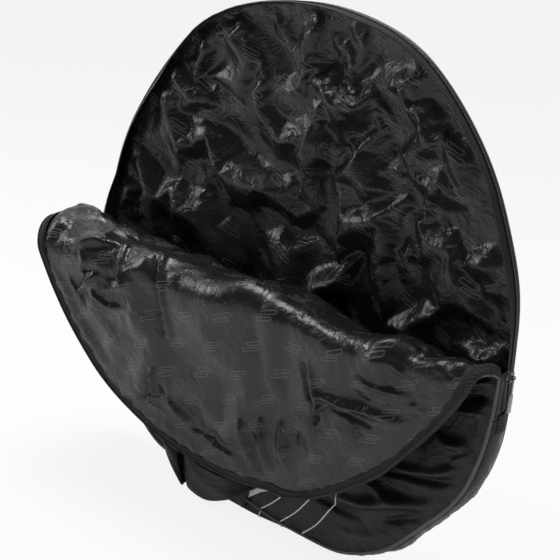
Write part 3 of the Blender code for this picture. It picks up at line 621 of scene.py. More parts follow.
def crumple_sheet(name, width, height, step, growth, hold, bending, offset, frames=24):
    """Grows a pinned flat sheet on a soft bed until it crumples, and keeps how each point moved."""
    columns, rows = round(width / step), round(height / step)
    deselect_all()
    bpy.ops.mesh.primitive_grid_add(x_subdivisions=columns, y_subdivisions=rows, size=1)
    sheet = bpy.context.object
    sheet.name = name
    flat = read_points(sheet) * (width, height, 1)
    offset = Vector(offset)
    flat[:, 2] = 0.0004 * noise_field(flat, 30, offset)
    order = np.lexsort((np.round(flat[:, 0] / step), np.round(flat[:, 1] / step)))
    write_points(sheet, flat)
    group = sheet.vertex_groups.new(name="hold")
    bed = hold * (0.25 + 1.5 * np.maximum(0, 0.5 + noise_field(flat * (1, 1, 0), 14, offset, 1)))
    border = (np.abs(flat[:, 0]) > width / 2 - step / 2) | (np.abs(flat[:, 1]) > height / 2 - step / 2)
    for index, weight in enumerate(np.where(border, 1.0, bed)):
        group.add([index], float(weight), "REPLACE")
    activate(sheet)
    bpy.ops.object.modifier_add(type="CLOTH")
    cloth = sheet.modifiers[-1]
    settings = cloth.settings
    settings.quality = 5
    settings.mass = 0.15
    settings.tension_stiffness = settings.compression_stiffness = 15
    settings.shear_stiffness = 5
    settings.bending_stiffness = bending
    settings.bending_model = "ANGULAR"
    settings.air_damping = 2
    settings.tension_damping = settings.compression_damping = settings.shear_damping = 5
    settings.bending_damping = 0.5
    settings.vertex_group_mass = "hold"
    settings.pin_stiffness = 1.0
    settings.shrink_min = -growth
    settings.effector_weights.gravity = 0
    cloth.collision_settings.use_collision = False
    cloth.collision_settings.use_self_collision = False
    cloth.point_cache.frame_start = 1
    cloth.point_cache.frame_end = frames
    scene = bpy.context.scene
    for moment in range(1, frames + 1):
        scene.frame_set(moment)
    bpy.ops.object.modifier_apply(modifier=cloth.name)
    moves = read_points(sheet) - flat * (1, 1, 0)
    bpy.data.objects.remove(sheet)
    scene.frame_set(1)
    return Crumple(moves[order].reshape(rows + 1, columns + 1, 3), width, height)


# Width, height and cell of each sheet in metres, its share of the growth, hold, bending stiffness and offset
CRUMPLE_SHEETS = {
    "back": (0.80, 0.80, 0.0062, 1.0, 0.010, 1.6, (3, 1, 7)),
    "flap": (0.80, 0.46, 0.0055, 0.7, 0.03, 0.3, (5, 8, 2)),
    "shell": (0.80, 0.80, 0.008, 0.3, 0.02, 1.5, (9, 4, 1)),
}
CRUMPLES = {}


def crumple(kind):
    """The crumpled sheets, each simulated once."""
    if kind not in CRUMPLES:
        width, height, step, share, hold, bending, offset = CRUMPLE_SHEETS[kind]
        growth = sizes().growth * share
        CRUMPLES[kind] = crumple_sheet("crumple_" + kind, width, height, step, growth, hold, bending, offset)
    return CRUMPLES[kind]


def distance_to_line(across, up, points):
    """Distance of each place to a line of points, and how far along the line its nearest point lies."""
    nearest = np.full(len(across), 1e9)
    best = np.zeros(len(across))
    total = sum(math.dist(a, b) for a, b in zip(points, points[1:]))
    walked = 0.0
    for (x0, y0), (x1, y1) in zip(points, points[1:]):
        run_x, run_y = x1 - x0, y1 - y0
        length = math.hypot(run_x, run_y)
        share = np.clip(((across - x0) * run_x + (up - y0) * run_y) / length ** 2, 0, 1)
        gap = np.hypot(across - x0 - share * run_x, up - y0 - share * run_y)
        closer = gap < nearest
        nearest = np.where(closer, gap, nearest)
        best = np.where(closer, (walked + share * length) / total, best)
        walked += length
    return nearest, best


def folds_height(across, up, folds):
    """Height of soft folds along lines of points, tapering towards their ends."""
    height = np.zeros(len(across))
    for points, width, rise in folds:
        nearest, along = distance_to_line(across, up, points)
        taper = 0.35 + 0.65 * np.sin(math.pi * np.clip(along, 0.0, 1.0)) ** 0.7
        spread = width * (0.58 + 0.40 * along)
        height = height + rise * taper * np.exp(-(nearest / spread) ** 2)
    return height


def main_folds(across, up):
    """The main folds of the back panel, which its solid has too."""
    height = np.zeros(len(across))
    for x0, y0, x1, y1, share in MAIN_FOLD_SHARES:
        crest = [(x0 * RADIUS, y0 * RADIUS), (x1 * RADIUS, y1 * RADIUS)]
        nearest, _ = distance_to_line(across, up, crest)
        rise = np.cos(np.minimum(1, nearest / MAIN_FOLD_WIDTH) * math.pi / 2) ** 2
        height = np.maximum(height, share * rise)
    return MAIN_FOLD_HEIGHT * height


def lining_strength(across, above):
    """How strongly the flap's lining is crumpled at a place."""
    strength = LINING_BASE_CRUMPLE + LINING_TOP_CRUMPLE * (1 - step_between(0.015, 0.075, above))
    for x, y, reach, value in LINING_SPOTS:
        strength = strength + value * np.exp(-((across - x) ** 2 + (above - y) ** 2) / reach ** 2)
    return np.minimum(strength, 1.0)


# Repeated small shapes

def bead(name, segments, rings, squareness):
    """Points and faces of one small rounded shape, from -1 to 1 each way, long along its second axis."""
    deselect_all()
    bpy.ops.mesh.primitive_uv_sphere_add(segments=segments, ring_count=rings, radius=1)
    piece = bpy.context.object
    piece.name = name
    points = read_points(piece)[:, [0, 2, 1]] * (1, -1, 1)
    points[:, 1] = np.sign(points[:, 1]) * np.abs(points[:, 1]) ** squareness
    faces = [tuple(face.vertices) for face in piece.data.polygons]
    bpy.data.objects.remove(piece)
    return points, faces


def repeat_bead(name, shape, half, stations, place, turns=np.zeros(1)):
    """One mesh of turned copies of a bead: place changes lengths along, across and out into points."""
    points, faces = shape
    local = points * half
    cos, sin = np.cos(turns)[:, None], np.sin(turns)[:, None]
    along = stations[:, 0][:, None] + local[None, :, 0] * cos - local[None, :, 1] * sin
    across = stations[:, 1][:, None] + local[None, :, 0] * sin + local[None, :, 1] * cos
    out = stations[:, 2][:, None] + local[None, :, 2]
    placed = place(along.ravel(), across.ravel(), out.ravel())
    corners = [tuple(vertex + copy * len(points) for vertex in face)
               for copy in range(len(stations)) for face in faces]
    mesh = bpy.data.meshes.new(name)
    mesh.from_pydata(placed.tolist(), [], corners)
    mesh.update()
    mesh.shade_smooth()
    piece = bpy.data.objects.new(name, mesh)
    bpy.context.scene.collection.objects.link(piece)
    return piece


def bead_row(name, shape, half, pitch, angles, depth, inset, place, lead=0.0):
    """Beads along a strip, from one angle to another."""
    angle = np.arange(angles[0] + lead * pitch / RADIUS, angles[1], pitch / RADIUS)
    stations = np.column_stack([angle * RADIUS, np.full(len(angle), depth), np.full(len(angle), -inset)])
    return repeat_bead(name, shape, half, stations,
                       lambda along, across, out: place(along / RADIUS, across, -out))


# Materials

class Nodes:
    """Short calls that add and join the nodes of one tree."""

    def __init__(self, tree):
        self.tree = tree

    def feed(self, socket, value):
        if isinstance(value, bpy.types.NodeSocket):
            self.tree.links.new(value, socket)
        else:
            socket.default_value = value

    def add(self, kind, inputs=None, **values):
        node = self.tree.nodes.new("ShaderNode" + kind)
        for name, value in values.items():
            setattr(node, name, value)
        for name, value in (inputs or {}).items():
            self.feed(node.inputs[name], value)
        return node

    def math(self, operation, *values):
        node = self.add("Math", operation=operation)
        for socket, value in zip(node.inputs, values):
            self.feed(socket, value)
        return node.outputs[0]

    def times(self, *values):
        return self.math("MULTIPLY", *values)

    def plus(self, *values):
        return self.math("ADD", *values)

    def minus(self, *values):
        return self.math("SUBTRACT", *values)

    def over(self, *values):
        return self.math("DIVIDE", *values)

    def noise(self, vector, scale, detail, **inputs):
        values = {"Vector": vector, "Scale": scale, "Detail": detail, **inputs}
        return self.add("TexNoise", values).outputs["Fac"]

    def span(self, value, low, high, new_low, new_high):
        node = self.add("MapRange", {"Value": value, "From Min": low, "From Max": high, "To Min": new_low,
                                     "To Max": new_high})
        return node.outputs[0]

    def group(self, name, **inputs):
        node = self.add("Group", node_tree=bpy.data.node_groups[name])
        for label, value in inputs.items():
            self.feed(node.inputs[label.replace("_", " ")], value)
        return node.outputs

    def tint(self, low, high, share):
        node = self.add("Mix", data_type="RGBA")
        self.feed(node.inputs["Factor"], share)
        self.feed(node.inputs[6], low)
        self.feed(node.inputs[7], high)
        return node.outputs[2]


def new_group(name, numbers, outputs):
    """A shader node group with a Vector input, named numbers and named value outputs."""
    tree = bpy.data.node_groups.new(name, "ShaderNodeTree")
    tree.interface.new_socket(name="Vector", in_out="INPUT", socket_type="NodeSocketVector")
    for label, value in numbers.items():
        socket = tree.interface.new_socket(name=label, in_out="INPUT", socket_type="NodeSocketFloat")
        socket.default_value = value
    for label in outputs:
        tree.interface.new_socket(name=label, in_out="OUTPUT", socket_type="NodeSocketFloat")
    start = tree.nodes.new("NodeGroupInput")
    end = tree.nodes.new("NodeGroupOutput")
    return Nodes(tree), start.outputs, end.inputs


def make_weave_group():
    """Plain weave: threads that pass over and under each other."""
    nodes, given, result = new_group("weave", {"Pitch": 0.001}, ("Height",))
    parts = nodes.add("SeparateXYZ", {"Vector": given["Vector"]}).outputs
    rate = nodes.over(math.tau, given["Pitch"])
    warp, weft = (nodes.math("SINE", nodes.times(parts[way], rate)) for way in "XY")
    nodes.feed(result["Height"], nodes.math("MULTIPLY_ADD", nodes.times(warp, weft), 0.5, 0.5))


def make_ribs_group():
    """Herringbone ribs, as in woven tape."""
    nodes, given, result = new_group("ribs", {"Pitch": 0.0016, "Turn": 0.006}, ("Height",))
    parts = nodes.add("SeparateXYZ", {"Vector": given["Vector"]}).outputs
    place = nodes.math("FRACT", nodes.over(parts["Y"], given["Turn"]))
    zigzag = nodes.times(nodes.math("ABSOLUTE", nodes.minus(place, 0.5)), given["Turn"])
    along = nodes.over(nodes.plus(parts["X"], zigzag), given["Pitch"])
    wave = nodes.math("SINE", nodes.times(along, math.tau))
    nodes.feed(result["Height"], nodes.math("MULTIPLY_ADD", wave, 0.5, 0.5))


def make_crinkle_group():
    """Fine creases of coated cloth: sharp lines where two soft slopes meet."""
    nodes, given, result = new_group("crinkle", {"Scale": 40.0}, ("Height", "Crease"))
    soft = nodes.noise(given["Vector"], given["Scale"], 3.0, Roughness=0.55, Distortion=0.8)
    around = nodes.math("ABSOLUTE", nodes.math("MULTIPLY_ADD", soft, 2.0, -1.0))
    crease = nodes.math("POWER", nodes.minus(1.0, around), 5.0)
    wide = nodes.noise(given["Vector"], nodes.times(given["Scale"], 0.33), 2.0, Distortion=0.4)
    nodes.feed(result["Crease"], crease)
    nodes.feed(result["Height"], nodes.plus(nodes.times(crease, 0.5), wide))


def make_tone_group():
    """Uneven dye and handling marks: a value around 1, and a mask of rubbed and dusty places."""
    nodes, given, result = new_group("tone", {"Scale": 9.0, "Spread": 0.2}, ("Tone", "Dust"))
    wide = nodes.noise(given["Vector"], given["Scale"], 4.0)
    low, high = nodes.minus(1.0, given["Spread"]), nodes.plus(1.0, given["Spread"])
    nodes.feed(result["Tone"], nodes.span(wide, 0.3, 0.7, low, high))
    fine = nodes.noise(given["Vector"], nodes.times(given["Scale"], 17.0), 5.0, Roughness=0.7)
    nodes.feed(result["Dust"], nodes.span(fine, 0.56, 0.78, 0.0, 1.0))


def make_print_group():
    """Paired outlined dashes in slanted rows, each row set half a step aside."""
    nodes, given, result = new_group(
        "paired dashes", {"Across": 0.068, "Along": 0.042, "Length": 0.0095, "Radius": 0.0023, "Gap": 0.0038,
                          "Line": 0.0007}, ("Mask",))
    turned = nodes.add("VectorRotate", {"Vector": given["Vector"], "Angle": math.radians(24)},
                       rotation_type="Z_AXIS").outputs["Vector"]
    parts = nodes.add("SeparateXYZ", {"Vector": turned}).outputs
    row = nodes.over(parts["Y"], given["Along"])
    column = nodes.plus(nodes.over(parts["X"], given["Across"]), nodes.times(nodes.math("FLOOR", row), 0.5))
    near_x = nodes.times(nodes.minus(nodes.math("FRACT", column), 0.5), given["Across"])
    near_y = nodes.times(nodes.minus(nodes.math("FRACT", row), 0.5), given["Along"])
    slipped = nodes.plus(near_x, nodes.times(nodes.math("SIGN", near_y), given["Gap"]))
    beyond = nodes.math("MAXIMUM", nodes.minus(nodes.math("ABSOLUTE", slipped), given["Length"]), 0.0)
    off = nodes.minus(nodes.math("ABSOLUTE", near_y), given["Gap"])
    distance = nodes.math("SQRT", nodes.plus(nodes.times(beyond, beyond), nodes.times(off, off)))
    rim = nodes.math("ABSOLUTE", nodes.minus(distance, given["Radius"]))
    nodes.feed(result["Mask"], nodes.span(nodes.over(rim, given["Line"]), 0.6, 1.3, 1.0, 0.0))


def make_scuffs_group():
    """Thin scratches and dull patches on hard parts."""
    nodes, given, result = new_group("scuffs", {"Scale": 300.0}, ("Scratch", "Dull"))
    stretched = nodes.add("Mapping", {"Vector": given["Vector"], "Rotation": (0.3, 0.7, 0.2),
                                      "Scale": (1.0, 9.0, 1.0)}).outputs["Vector"]
    lines = nodes.noise(stretched, given["Scale"], 2.0)
    patches = nodes.noise(given["Vector"], nodes.times(given["Scale"], 0.6), 4.0)
    nodes.feed(result["Scratch"], nodes.span(lines, 0.60, 0.70, 0.0, 1.0))
    nodes.feed(result["Dull"], nodes.span(patches, 0.42, 0.62, 0.0, 1.0))


MATERIALS = {}


def new_material(name, colour, roughness, metallic=0.0, specular=0.5):
    material = bpy.data.materials.new(name)
    material.use_nodes = True
    shader = material.node_tree.nodes["Principled BSDF"]
    shader.inputs["Base Color"].default_value = (*colour, 1)
    shader.inputs["Roughness"].default_value = roughness
    shader.inputs["Metallic"].default_value = metallic
    shader.inputs["Specular IOR Level"].default_value = specular
    MATERIALS[name] = material
    return Nodes(material.node_tree), shader


def finish(nodes, shader, colour, roughness, bumps):
    """Feeds the shader, and chains the bumps, each a height with its depth in metres and its strength."""
    nodes.feed(shader.inputs["Base Color"], colour)
    nodes.feed(shader.inputs["Roughness"], roughness)
    normal = None
    for height, distance, strength in bumps:
        node = nodes.add("Bump", {"Height": height, "Distance": distance, "Strength": strength})
        if normal:
            nodes.feed(node.inputs["Normal"], normal)
        normal = node.outputs["Normal"]
    nodes.feed(shader.inputs["Normal"], normal)


def cloth_vector(nodes):
    return nodes.add("UVMap", uv_map="cloth").outputs["UV"]


def object_vector(nodes):
    return nodes.add("TexCoord").outputs["Object"]


def shade(nodes, colour, tone):
    """The colour made darker and lighter by the tone: random dye, and in the ribbed finishes also painted
    shade and highlight of the ribs.
    """
    dark, light = ((*[part * factor for part in colour], 1) for factor in (0.6, 1.4))
    return nodes.tint(dark, light, nodes.span(tone, 0.6, 1.4, 0.0, 1.0))


def lighter(colour, factor, extra=0.0):
    return (*[min(1.0, part * factor + extra) for part in colour], 1)


def make_satin(name, crinkled):
    paint = colours()
    nodes, shader = new_material(name, paint.satin, 0.3, specular=0.42)
    vector = cloth_vector(nodes)
    crinkle = nodes.group("crinkle", Vector=vector, Scale=44.0)["Height"]
    fine = nodes.group("crinkle", Vector=vector, Scale=160.0)["Height"]
    tone = nodes.group("tone", Vector=vector, Scale=7.0, Spread=0.22)
    weave = nodes.group("weave", Vector=vector, Pitch=0.0007)["Height"]
    dashes = nodes.group("paired dashes", Vector=vector)["Mask"]
    worn = nodes.times(dashes, nodes.minus(0.95, nodes.times(tone["Dust"], 0.6)))
    dusty = nodes.plus(nodes.span(crinkle, 0.3, 1.0, 0.20, 0.30), nodes.times(tone["Dust"], 0.10))
    finish(nodes, shader, nodes.tint(shade(nodes, paint.satin, tone["Tone"]), (*paint.satin_print, 1), worn),
           nodes.plus(dusty, nodes.times(worn, 0.12)),
           ((crinkle, 0.0040, crinkled), (fine, 0.0006, crinkled * 0.35), (weave, 0.00010, 0.35)))


def make_nylon():
    paint = colours()
    nodes, shader = new_material("nylon", paint.nylon, 0.4, specular=0.30)
    vector = cloth_vector(nodes)
    crinkle = nodes.group("crinkle", Vector=vector, Scale=38.0)["Height"]
    tone = nodes.group("tone", Vector=vector, Scale=11.0, Spread=0.25)
    weave = nodes.group("weave", Vector=vector, Pitch=0.0011)["Height"]
    dusty = nodes.times(tone["Dust"], 0.25)
    finish(nodes, shader, nodes.tint(shade(nodes, paint.nylon, tone["Tone"]), (0.05, 0.05, 0.052, 1), dusty),
           nodes.plus(nodes.span(crinkle, 0.3, 1.0, 0.26, 0.38), nodes.times(tone["Dust"], 0.12)),
           ((crinkle, 0.0030, 0.50), (weave, 0.00022, 0.55)))


def make_ribbed(name, colour, pitch, turn, roughness, depth, coordinates, specular=0.08):
    """Woven tape, binding or webbing: ribs with painted shade in their valleys and a painted highlight on
    their crests, and dusty places.
    """
    nodes, shader = new_material(name, colour, roughness, specular=specular)
    vector = coordinates(nodes)
    ribs = nodes.group("ribs", Vector=vector, Pitch=pitch, Turn=turn)["Height"]
    weave = nodes.group("weave", Vector=vector, Pitch=pitch * 0.45)["Height"]
    tone = nodes.group("tone", Vector=vector, Scale=16.0, Spread=0.25)
    # The random dye tone, times painted shade in the ribs' valleys and a painted highlight on their crests
    tone_and_rib_shade = nodes.times(tone["Tone"], nodes.span(ribs, 0.0, 1.0, 0.55, 1.45))
    finish(nodes, shader,
           nodes.tint(shade(nodes, colour, tone_and_rib_shade), lighter(colour, 3.0), nodes.times(tone["Dust"], 0.35)),
           nodes.span(ribs, 0.0, 1.0, roughness + 0.12, roughness - 0.08),
           ((ribs, depth, 0.8), (weave, depth * 0.35, 0.6)))


def make_moulded(name, colour, roughness, grain):
    """Plain nylon or rubber mouldings, with a fine grain."""
    nodes, shader = new_material(name, colour, roughness)
    vector = object_vector(nodes)
    tone = nodes.group("tone", Vector=vector, Scale=60.0, Spread=0.18)["Tone"]
    scuffs = nodes.group("scuffs", Vector=vector, Scale=grain)
    rubbed = nodes.times(scuffs["Scratch"], 0.4)
    finish(nodes, shader, nodes.tint(shade(nodes, colour, tone), lighter(colour, 1.5, 0.01), rubbed),
           nodes.span(scuffs["Dull"], 0.0, 1.0, roughness - 0.05, roughness + 0.14),
           ((scuffs["Dull"], 0.00012, 0.3),))


def make_metal():
    paint = colours()
    nodes, shader = new_material("metal", paint.metal, 0.28, metallic=1.0)
    vector = object_vector(nodes)
    scuffs = nodes.group("scuffs", Vector=vector, Scale=420.0)
    tone = nodes.group("tone", Vector=vector, Scale=120.0, Spread=0.2)["Tone"]
    rubbed = nodes.times(scuffs["Scratch"], 0.6)
    finish(nodes, shader, nodes.tint(shade(nodes, paint.metal, tone), (0.62, 0.61, 0.60, 1), rubbed),
           nodes.span(scuffs["Dull"], 0.0, 1.0, 0.18, 0.40), ((scuffs["Scratch"], 0.00006, 0.4),))


def make_materials():
    paint = colours()
    for make_group in (make_weave_group, make_ribs_group, make_crinkle_group, make_tone_group,
                       make_print_group, make_scuffs_group):
        make_group()
    make_satin("satin", 0.38)
    make_satin("smooth satin", 0.26)
    make_nylon()
    make_ribbed("tape", paint.tape, 0.0036, 0.0070, 0.72, 0.00060, cloth_vector)
    make_ribbed("binding", paint.binding, 0.0042, 0.0080, 0.66, 0.00090, cloth_vector)
    make_ribbed("webbing", paint.webbing, 0.0030, 0.0085, 0.42, 0.00050, cloth_vector, 0.35)
    make_ribbed("piping", paint.piping, 0.0012, 0.0040, 0.30, 0.00012, object_vector, 0.5)
    make_moulded("coil", paint.coil, 0.34, 500.0)
    make_moulded("thread", paint.thread, 0.5, 900.0)
    make_moulded("stripe", paint.stripe, 0.36, 700.0)
    make_moulded("grip", paint.grip, 0.45, 800.0)
    make_metal()


def dress(piece, material, slot, hold, *stood_for):
    """Gives a piece its material and its body, or passes it to hold; hides the nodes it stands for. Slot is
    not used.
    """
    piece.data.materials.clear()
    piece.data.materials.append(MATERIALS[material])
    if callable(hold):
        hold(piece)
    else:
        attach(piece, hold)
    if stood_for:
        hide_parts(*stood_for)
    return piece


# The body of the bag

def dome(share):
    return DOME * (1 - share ** 2.5)


def seam_puckers(across, up, share, height, reach):
    """Small gathers that run in from the seam."""
    angle = np.arctan2(up, across)
    wave = np.sin(angle * 83 + 3 * np.sin(angle * 7)) * (0.6 + 0.4 * np.sin(angle * 19 + 1.0))
    return height * wave * np.exp(-((1 - share) / reach) ** 2)


def back_cover_depth(across, up, share):
    free = step_between(0, 0.12, 1 - share)
    crumpled = crumple("shell").at(across, up)[:, 2] * COVER_CRUMPLE_GAIN
    depth = BACK_Y - 0.0005 + dome(share) + (crumpled - main_folds(across, up)) * free
    return depth + seam_puckers(across, up, share, 0.0008, 0.05)


def back_cover_place(s, t):
    across, up, share = panel_points(2 * s - 1, 2 * t - 1, BACK_INSET, SIDE_Y)
    points = np.column_stack([across, back_cover_depth(across, up, share), CENTRE_HEIGHT + up])
    return points, np.column_stack([across, up])


def back_lining_place(s, t):
    across, up, share = panel_points(2 * s - 1, 2 * t - 1, BACK_LINING_INSET, SIDE_Y)
    free = step_between(0, 0.10, 1 - share)
    move = crumple("back").at(across, up)
    rise = BACK_FOLD_GAIN * main_folds(across, up) + move[:, 2] * BACK_CRUMPLE_GAIN
    depth = LINING_BACK_Y + dome(share) - 0.001 - (rise + 0.003) * free + 0.004 * (1 - free)
    depth = depth + seam_puckers(across, up, share, 0.0012, 0.05)
    depth = -at_least(-depth, BACK_CLEARANCE - back_cover_depth(across, up, share))
    points = np.column_stack([across + move[:, 0] * free, depth, CENTRE_HEIGHT + up + move[:, 1] * free])
    return points, np.column_stack([across, up])


def make_back():
    cells = round(2 * RADIUS / sizes().cell)
    piece = cloth_grid("back_cover", cells, cells, back_cover_place, (0, 1, 0))
    dress(piece, "nylon", "shell_nylon", "bag", "back_panel_shell", "back_panel_foam")
    piece = cloth_grid("back_satin", cells, cells, back_lining_place, (0, -1, 0))
    dress(piece, "satin", "lining_satin", "bag", "back_panel_lining")


def band(name, points_at, angles, depths, inset, rows, thickness=CLOTH):
    """A strip between two angles and two depths, on the side or along the flap's edge."""
    columns = max(4, round(abs(angles[1] - angles[0]) * RADIUS / sizes().fine_cell))

    def place(s, t):
        angle = angles[0] + (angles[1] - angles[0]) * s
        depth = depths[0] + (depths[1] - depths[0]) * t
        return points_at(angle, depth, inset), np.column_stack([angle * RADIUS, depth])

    return cloth_grid(name, columns, rows, place, AWAY if points_at is side_points else None, thickness)


def stub_spans(end):
    """The angles of the short front pieces beside the fold, which reach down to an angle below it."""
    return ("right", (-end, 0.0)), ("left", (math.pi, math.pi + end))


def make_side():
    piece = band("side_cover", side_points, LOW_SPAN, (-SIDE_Y - LAP, SIDE_Y + LAP), 0.0, 16)
    dress(piece, "nylon", "shell_nylon", "bag", "gusset_lower", "gusset_foam")

    depths = (LINING_FRONT_Y, LINING_BACK_Y)
    piece = band("side_satin", side_points, LOW_SPAN, depths, SIDE_LINING_INSET, 10)
    dress(piece, "satin", "lining_satin", "bag", "gusset_lining")

    piece = band("upper_strip", side_points, ZIP_SPAN, (STRIP_NEAR, SIDE_Y + LAP), 0.0, 4)
    dress(piece, "nylon", "shell_nylon", "bag", "gusset_upper_strip")
    piece = band("rim_binding_tape", side_points, ZIP_SPAN, (BINDING_NEAR, SIDE_Y), BINDING_INSET, 4)
    dress(piece, "binding", "binding_tape", "bag", "rim_binding")
    for side, angles in stub_spans(ZIP_END):
        piece = band(f"front_stub_{side}", side_points, angles, (-SIDE_Y - LAP, FRONT_STRIP_FAR), 0.0, 3)
        dress(piece, "nylon", "shell_nylon", "bag", f"gusset_front_stub_{side}")


def make_piping():
    for side, start, depth in (("back", 0.0, PIPING_Y), ("front", math.pi, -PIPING_Y)):
        closed = side == "back"
        count = round((2 * math.pi - start) * RADIUS / CORD_STEP)
        angle = np.linspace(start, 2 * math.pi, count, endpoint=not closed)
        across, up = seam_inset(angle, PIPING_INSET + pinch(angle, depth), depth)
        points = np.column_stack([across, np.full(count, depth), CENTRE_HEIGHT + up])
        dress(tube(f"piping_{side}", points, closed), "piping", "piping_cloth", "bag", f"{side}_piping")


# The zip

def tooth_row(name, angles, depth, place, hold, node, lead=0.0):
    """Teeth along the zip, each a rounded loop across the tape's edge."""
    pitch = sizes().tooth_pitch
    half = np.array((TOOTH_WIDTH_SHARE * pitch, TOOTH_REACH, TOOTH_HEIGHT))
    piece = bead_row(name, bead("tooth", 6, 5, 0.6), half, pitch, angles, depth, COIL_INSET, place, lead)
    dress(piece, "coil", "zip_coil", hold, node)


def make_zip():
    reach, stop = ZIP_END + TAPE_TUCK, ZIP_END - COIL_STOP
    piece = band("zip_tape_back", side_points, (-reach, math.pi + reach), (TAPE_NEAR, TAPE_FAR), TAPE_INSET,
                 6, TAPE_CLOTH)
    dress(piece, "tape", "zip_tape", "bag", "zip_tape_gusset")
    for side, angles in stub_spans(reach):
        piece = band(f"zip_tape_front_{side}", side_points, angles, (FRONT_TAPE_NEAR, FRONT_TAPE_FAR),
                     TAPE_INSET, 6, TAPE_CLOTH)
        dress(piece, "tape", "zip_tape", "bag", f"zip_tape_stub_{side}")

    tooth_row("teeth_back", (-stop, math.pi + stop), (COIL_NEAR + COIL_FAR) / 2, side_points, "bag",
              "zip_coil_gusset")
    for side, angles in stub_spans(stop):
        tooth_row(f"teeth_front_{side}", angles, FRONT_COIL_Y, side_points, "bag",
                  f"zip_coil_stub_{side}", 0.5)

    low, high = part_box("zip_end_tab_right")
    near, far = (math.asin((corner[2] - CENTRE_HEIGHT) / RADIUS) for corner in (low, high))
    for side, angles in (("right", (near, far)), ("left", (math.pi - far, math.pi - near))):
        piece = band(f"zip_tab_{side}", side_points, angles, (low[1], high[1]), TAB_INSET, 8, 0.0014)
        round_edges(piece, 0.0003)
        dress(piece, "binding", "binding_tape", "bag", f"zip_end_tab_{side}")


# The front panel and the flap, which are one layer of cloth on each side

def split_share(right):
    """Where the flap's cloth is divided between its root and its main part, as a share of its height."""
    return np.interp(right, (-1, 1), ROOT_SHARES)


def cover_depth(across, above, share):
    """How far the front's outer cloth lies behind the fold line, before the flap is folded."""
    free = step_between(0, 0.08, 1 - share)
    move = crumple("shell").at(across, above)[:, 2]
    belly = 0.005 * np.clip(1 - share ** 2, 0, 1) * step_between(0.0, 0.12, -above)
    move = move * (0.35 + 0.55 * step_between(0.04, 0.25, 1 - share))
    raised = move + FOLD_GAIN * folds_height(across, above, COVER_FOLDS) + belly
    return FRONT_Y - FOLD_Y + 0.001 - raised * free - seam_puckers(across, above, share, 0.0010, 0.05)


def lining_place(across, above, share):
    """Where the front's lining lies: its place across and above, and behind the fold line."""
    free = step_between(0, 0.07, 1 - share)
    move = crumple("flap").at(across, above - 0.21) * (lining_strength(across, above) * free)[:, None]
    swell = crumple("shell").at(across * 0.8, above * 0.8)[:, 2] * SWELL_GAIN
    middle_across, middle_above, reach, height = ROOT_BULGE
    distance = np.hypot(across - middle_across, above - middle_above)
    bulge = height * np.exp(-(distance / reach) ** 2)
    depth = LINING_FRONT_Y - FOLD_Y + 0.0005 - 0.004 * (1 - free)
    folds = FOLD_GAIN * folds_height(across, above, LINING_FOLDS)
    inner = step_between(0.035, 0.12, 1 - share)
    depth = depth + move[:, 2] + (folds + swell) * inner + bulge * step_between(0, 0.05, 1 - share)
    depth = depth + seam_puckers(across, above, share, 0.0013, 0.055)
    depth = at_least(depth, cover_depth(across, above, share) + FRONT_CLEARANCE)
    return across + move[:, 0], above + move[:, 1], depth


def layer_piece(name, kind, low, high, rows, facing):
    """A piece of the front's cover or lining, between two shares of its height."""
    def place(s, t):
        right = 2 * s - 1
        bottom, top = low(right), high(right)
        across, above, share = panel_points(right, bottom + (top - bottom) * t, FRONT_INSET)
        flat = np.column_stack([across, above])
        if kind == "cover":
            return fold_flap(across, above, cover_depth(across, above, share)), flat
        return fold_flap(*lining_place(across, above, share)), flat

    return cloth_grid(name, round(2 * RADIUS / sizes().cell), rows, place, facing)


def whole(value):
    return lambda right: np.full(len(right), value)


def bend_blend():
    """From where to where the flap's cloth goes over from the root to the main part."""
    middle = Vector(JOINTS["flap_bend"]["pos_m"])
    axis = Vector(BEND_AXIS)
    root = Vector((0, -math.sin(ROOT_ANGLE), math.cos(ROOT_ANGLE)))
    root = (root - axis * root.dot(axis)).normalized()
    main = Matrix.Rotation(FLAP_ANGLE, 3, axis) @ root
    way = (root + main).normalized() * 0.012
    return tuple(middle - way), tuple(middle + way)


def hang_root(piece):
    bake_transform(piece)


def hang_main(piece):
    start, end = bend_blend()
    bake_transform(piece)
    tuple(start)
    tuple(end)


def make_front():
    cell = sizes().cell / RADIUS
    low_rows, root_rows, main_rows = round(0.95 / cell), round(0.17 / cell), round(0.9 / cell)
    for kind, finish_name, material, slot, nodes, outward in (
            ("cover", "cloth", "nylon", "shell_nylon", ("shell", "foam"), 1),
            ("lining", "satin", "smooth satin", "lining_satin", ("lining",), -1)):
        panel, root, main = f"front_{finish_name}", f"flap_root_{finish_name}", f"flap_{finish_name}"
        piece = layer_piece(panel, kind, whole(-1.0), whole(LOW_SHARE), low_rows, (0, -outward, 0))
        dress(piece, material, slot, "bag", *[f"front_panel_{node}" for node in nodes])

        piece = layer_piece(root, kind, whole(LOW_SHARE), split_share, root_rows, (0, 0, -outward))
        dress(piece, material, slot, hang_root, *[f"flap_root_{node}" for node in nodes])

        piece = layer_piece(main, kind, split_share, whole(1.0), main_rows, (0, outward, 0))
        dress(piece, material, slot, hang_main, *[f"flap_{node}" for node in nodes])


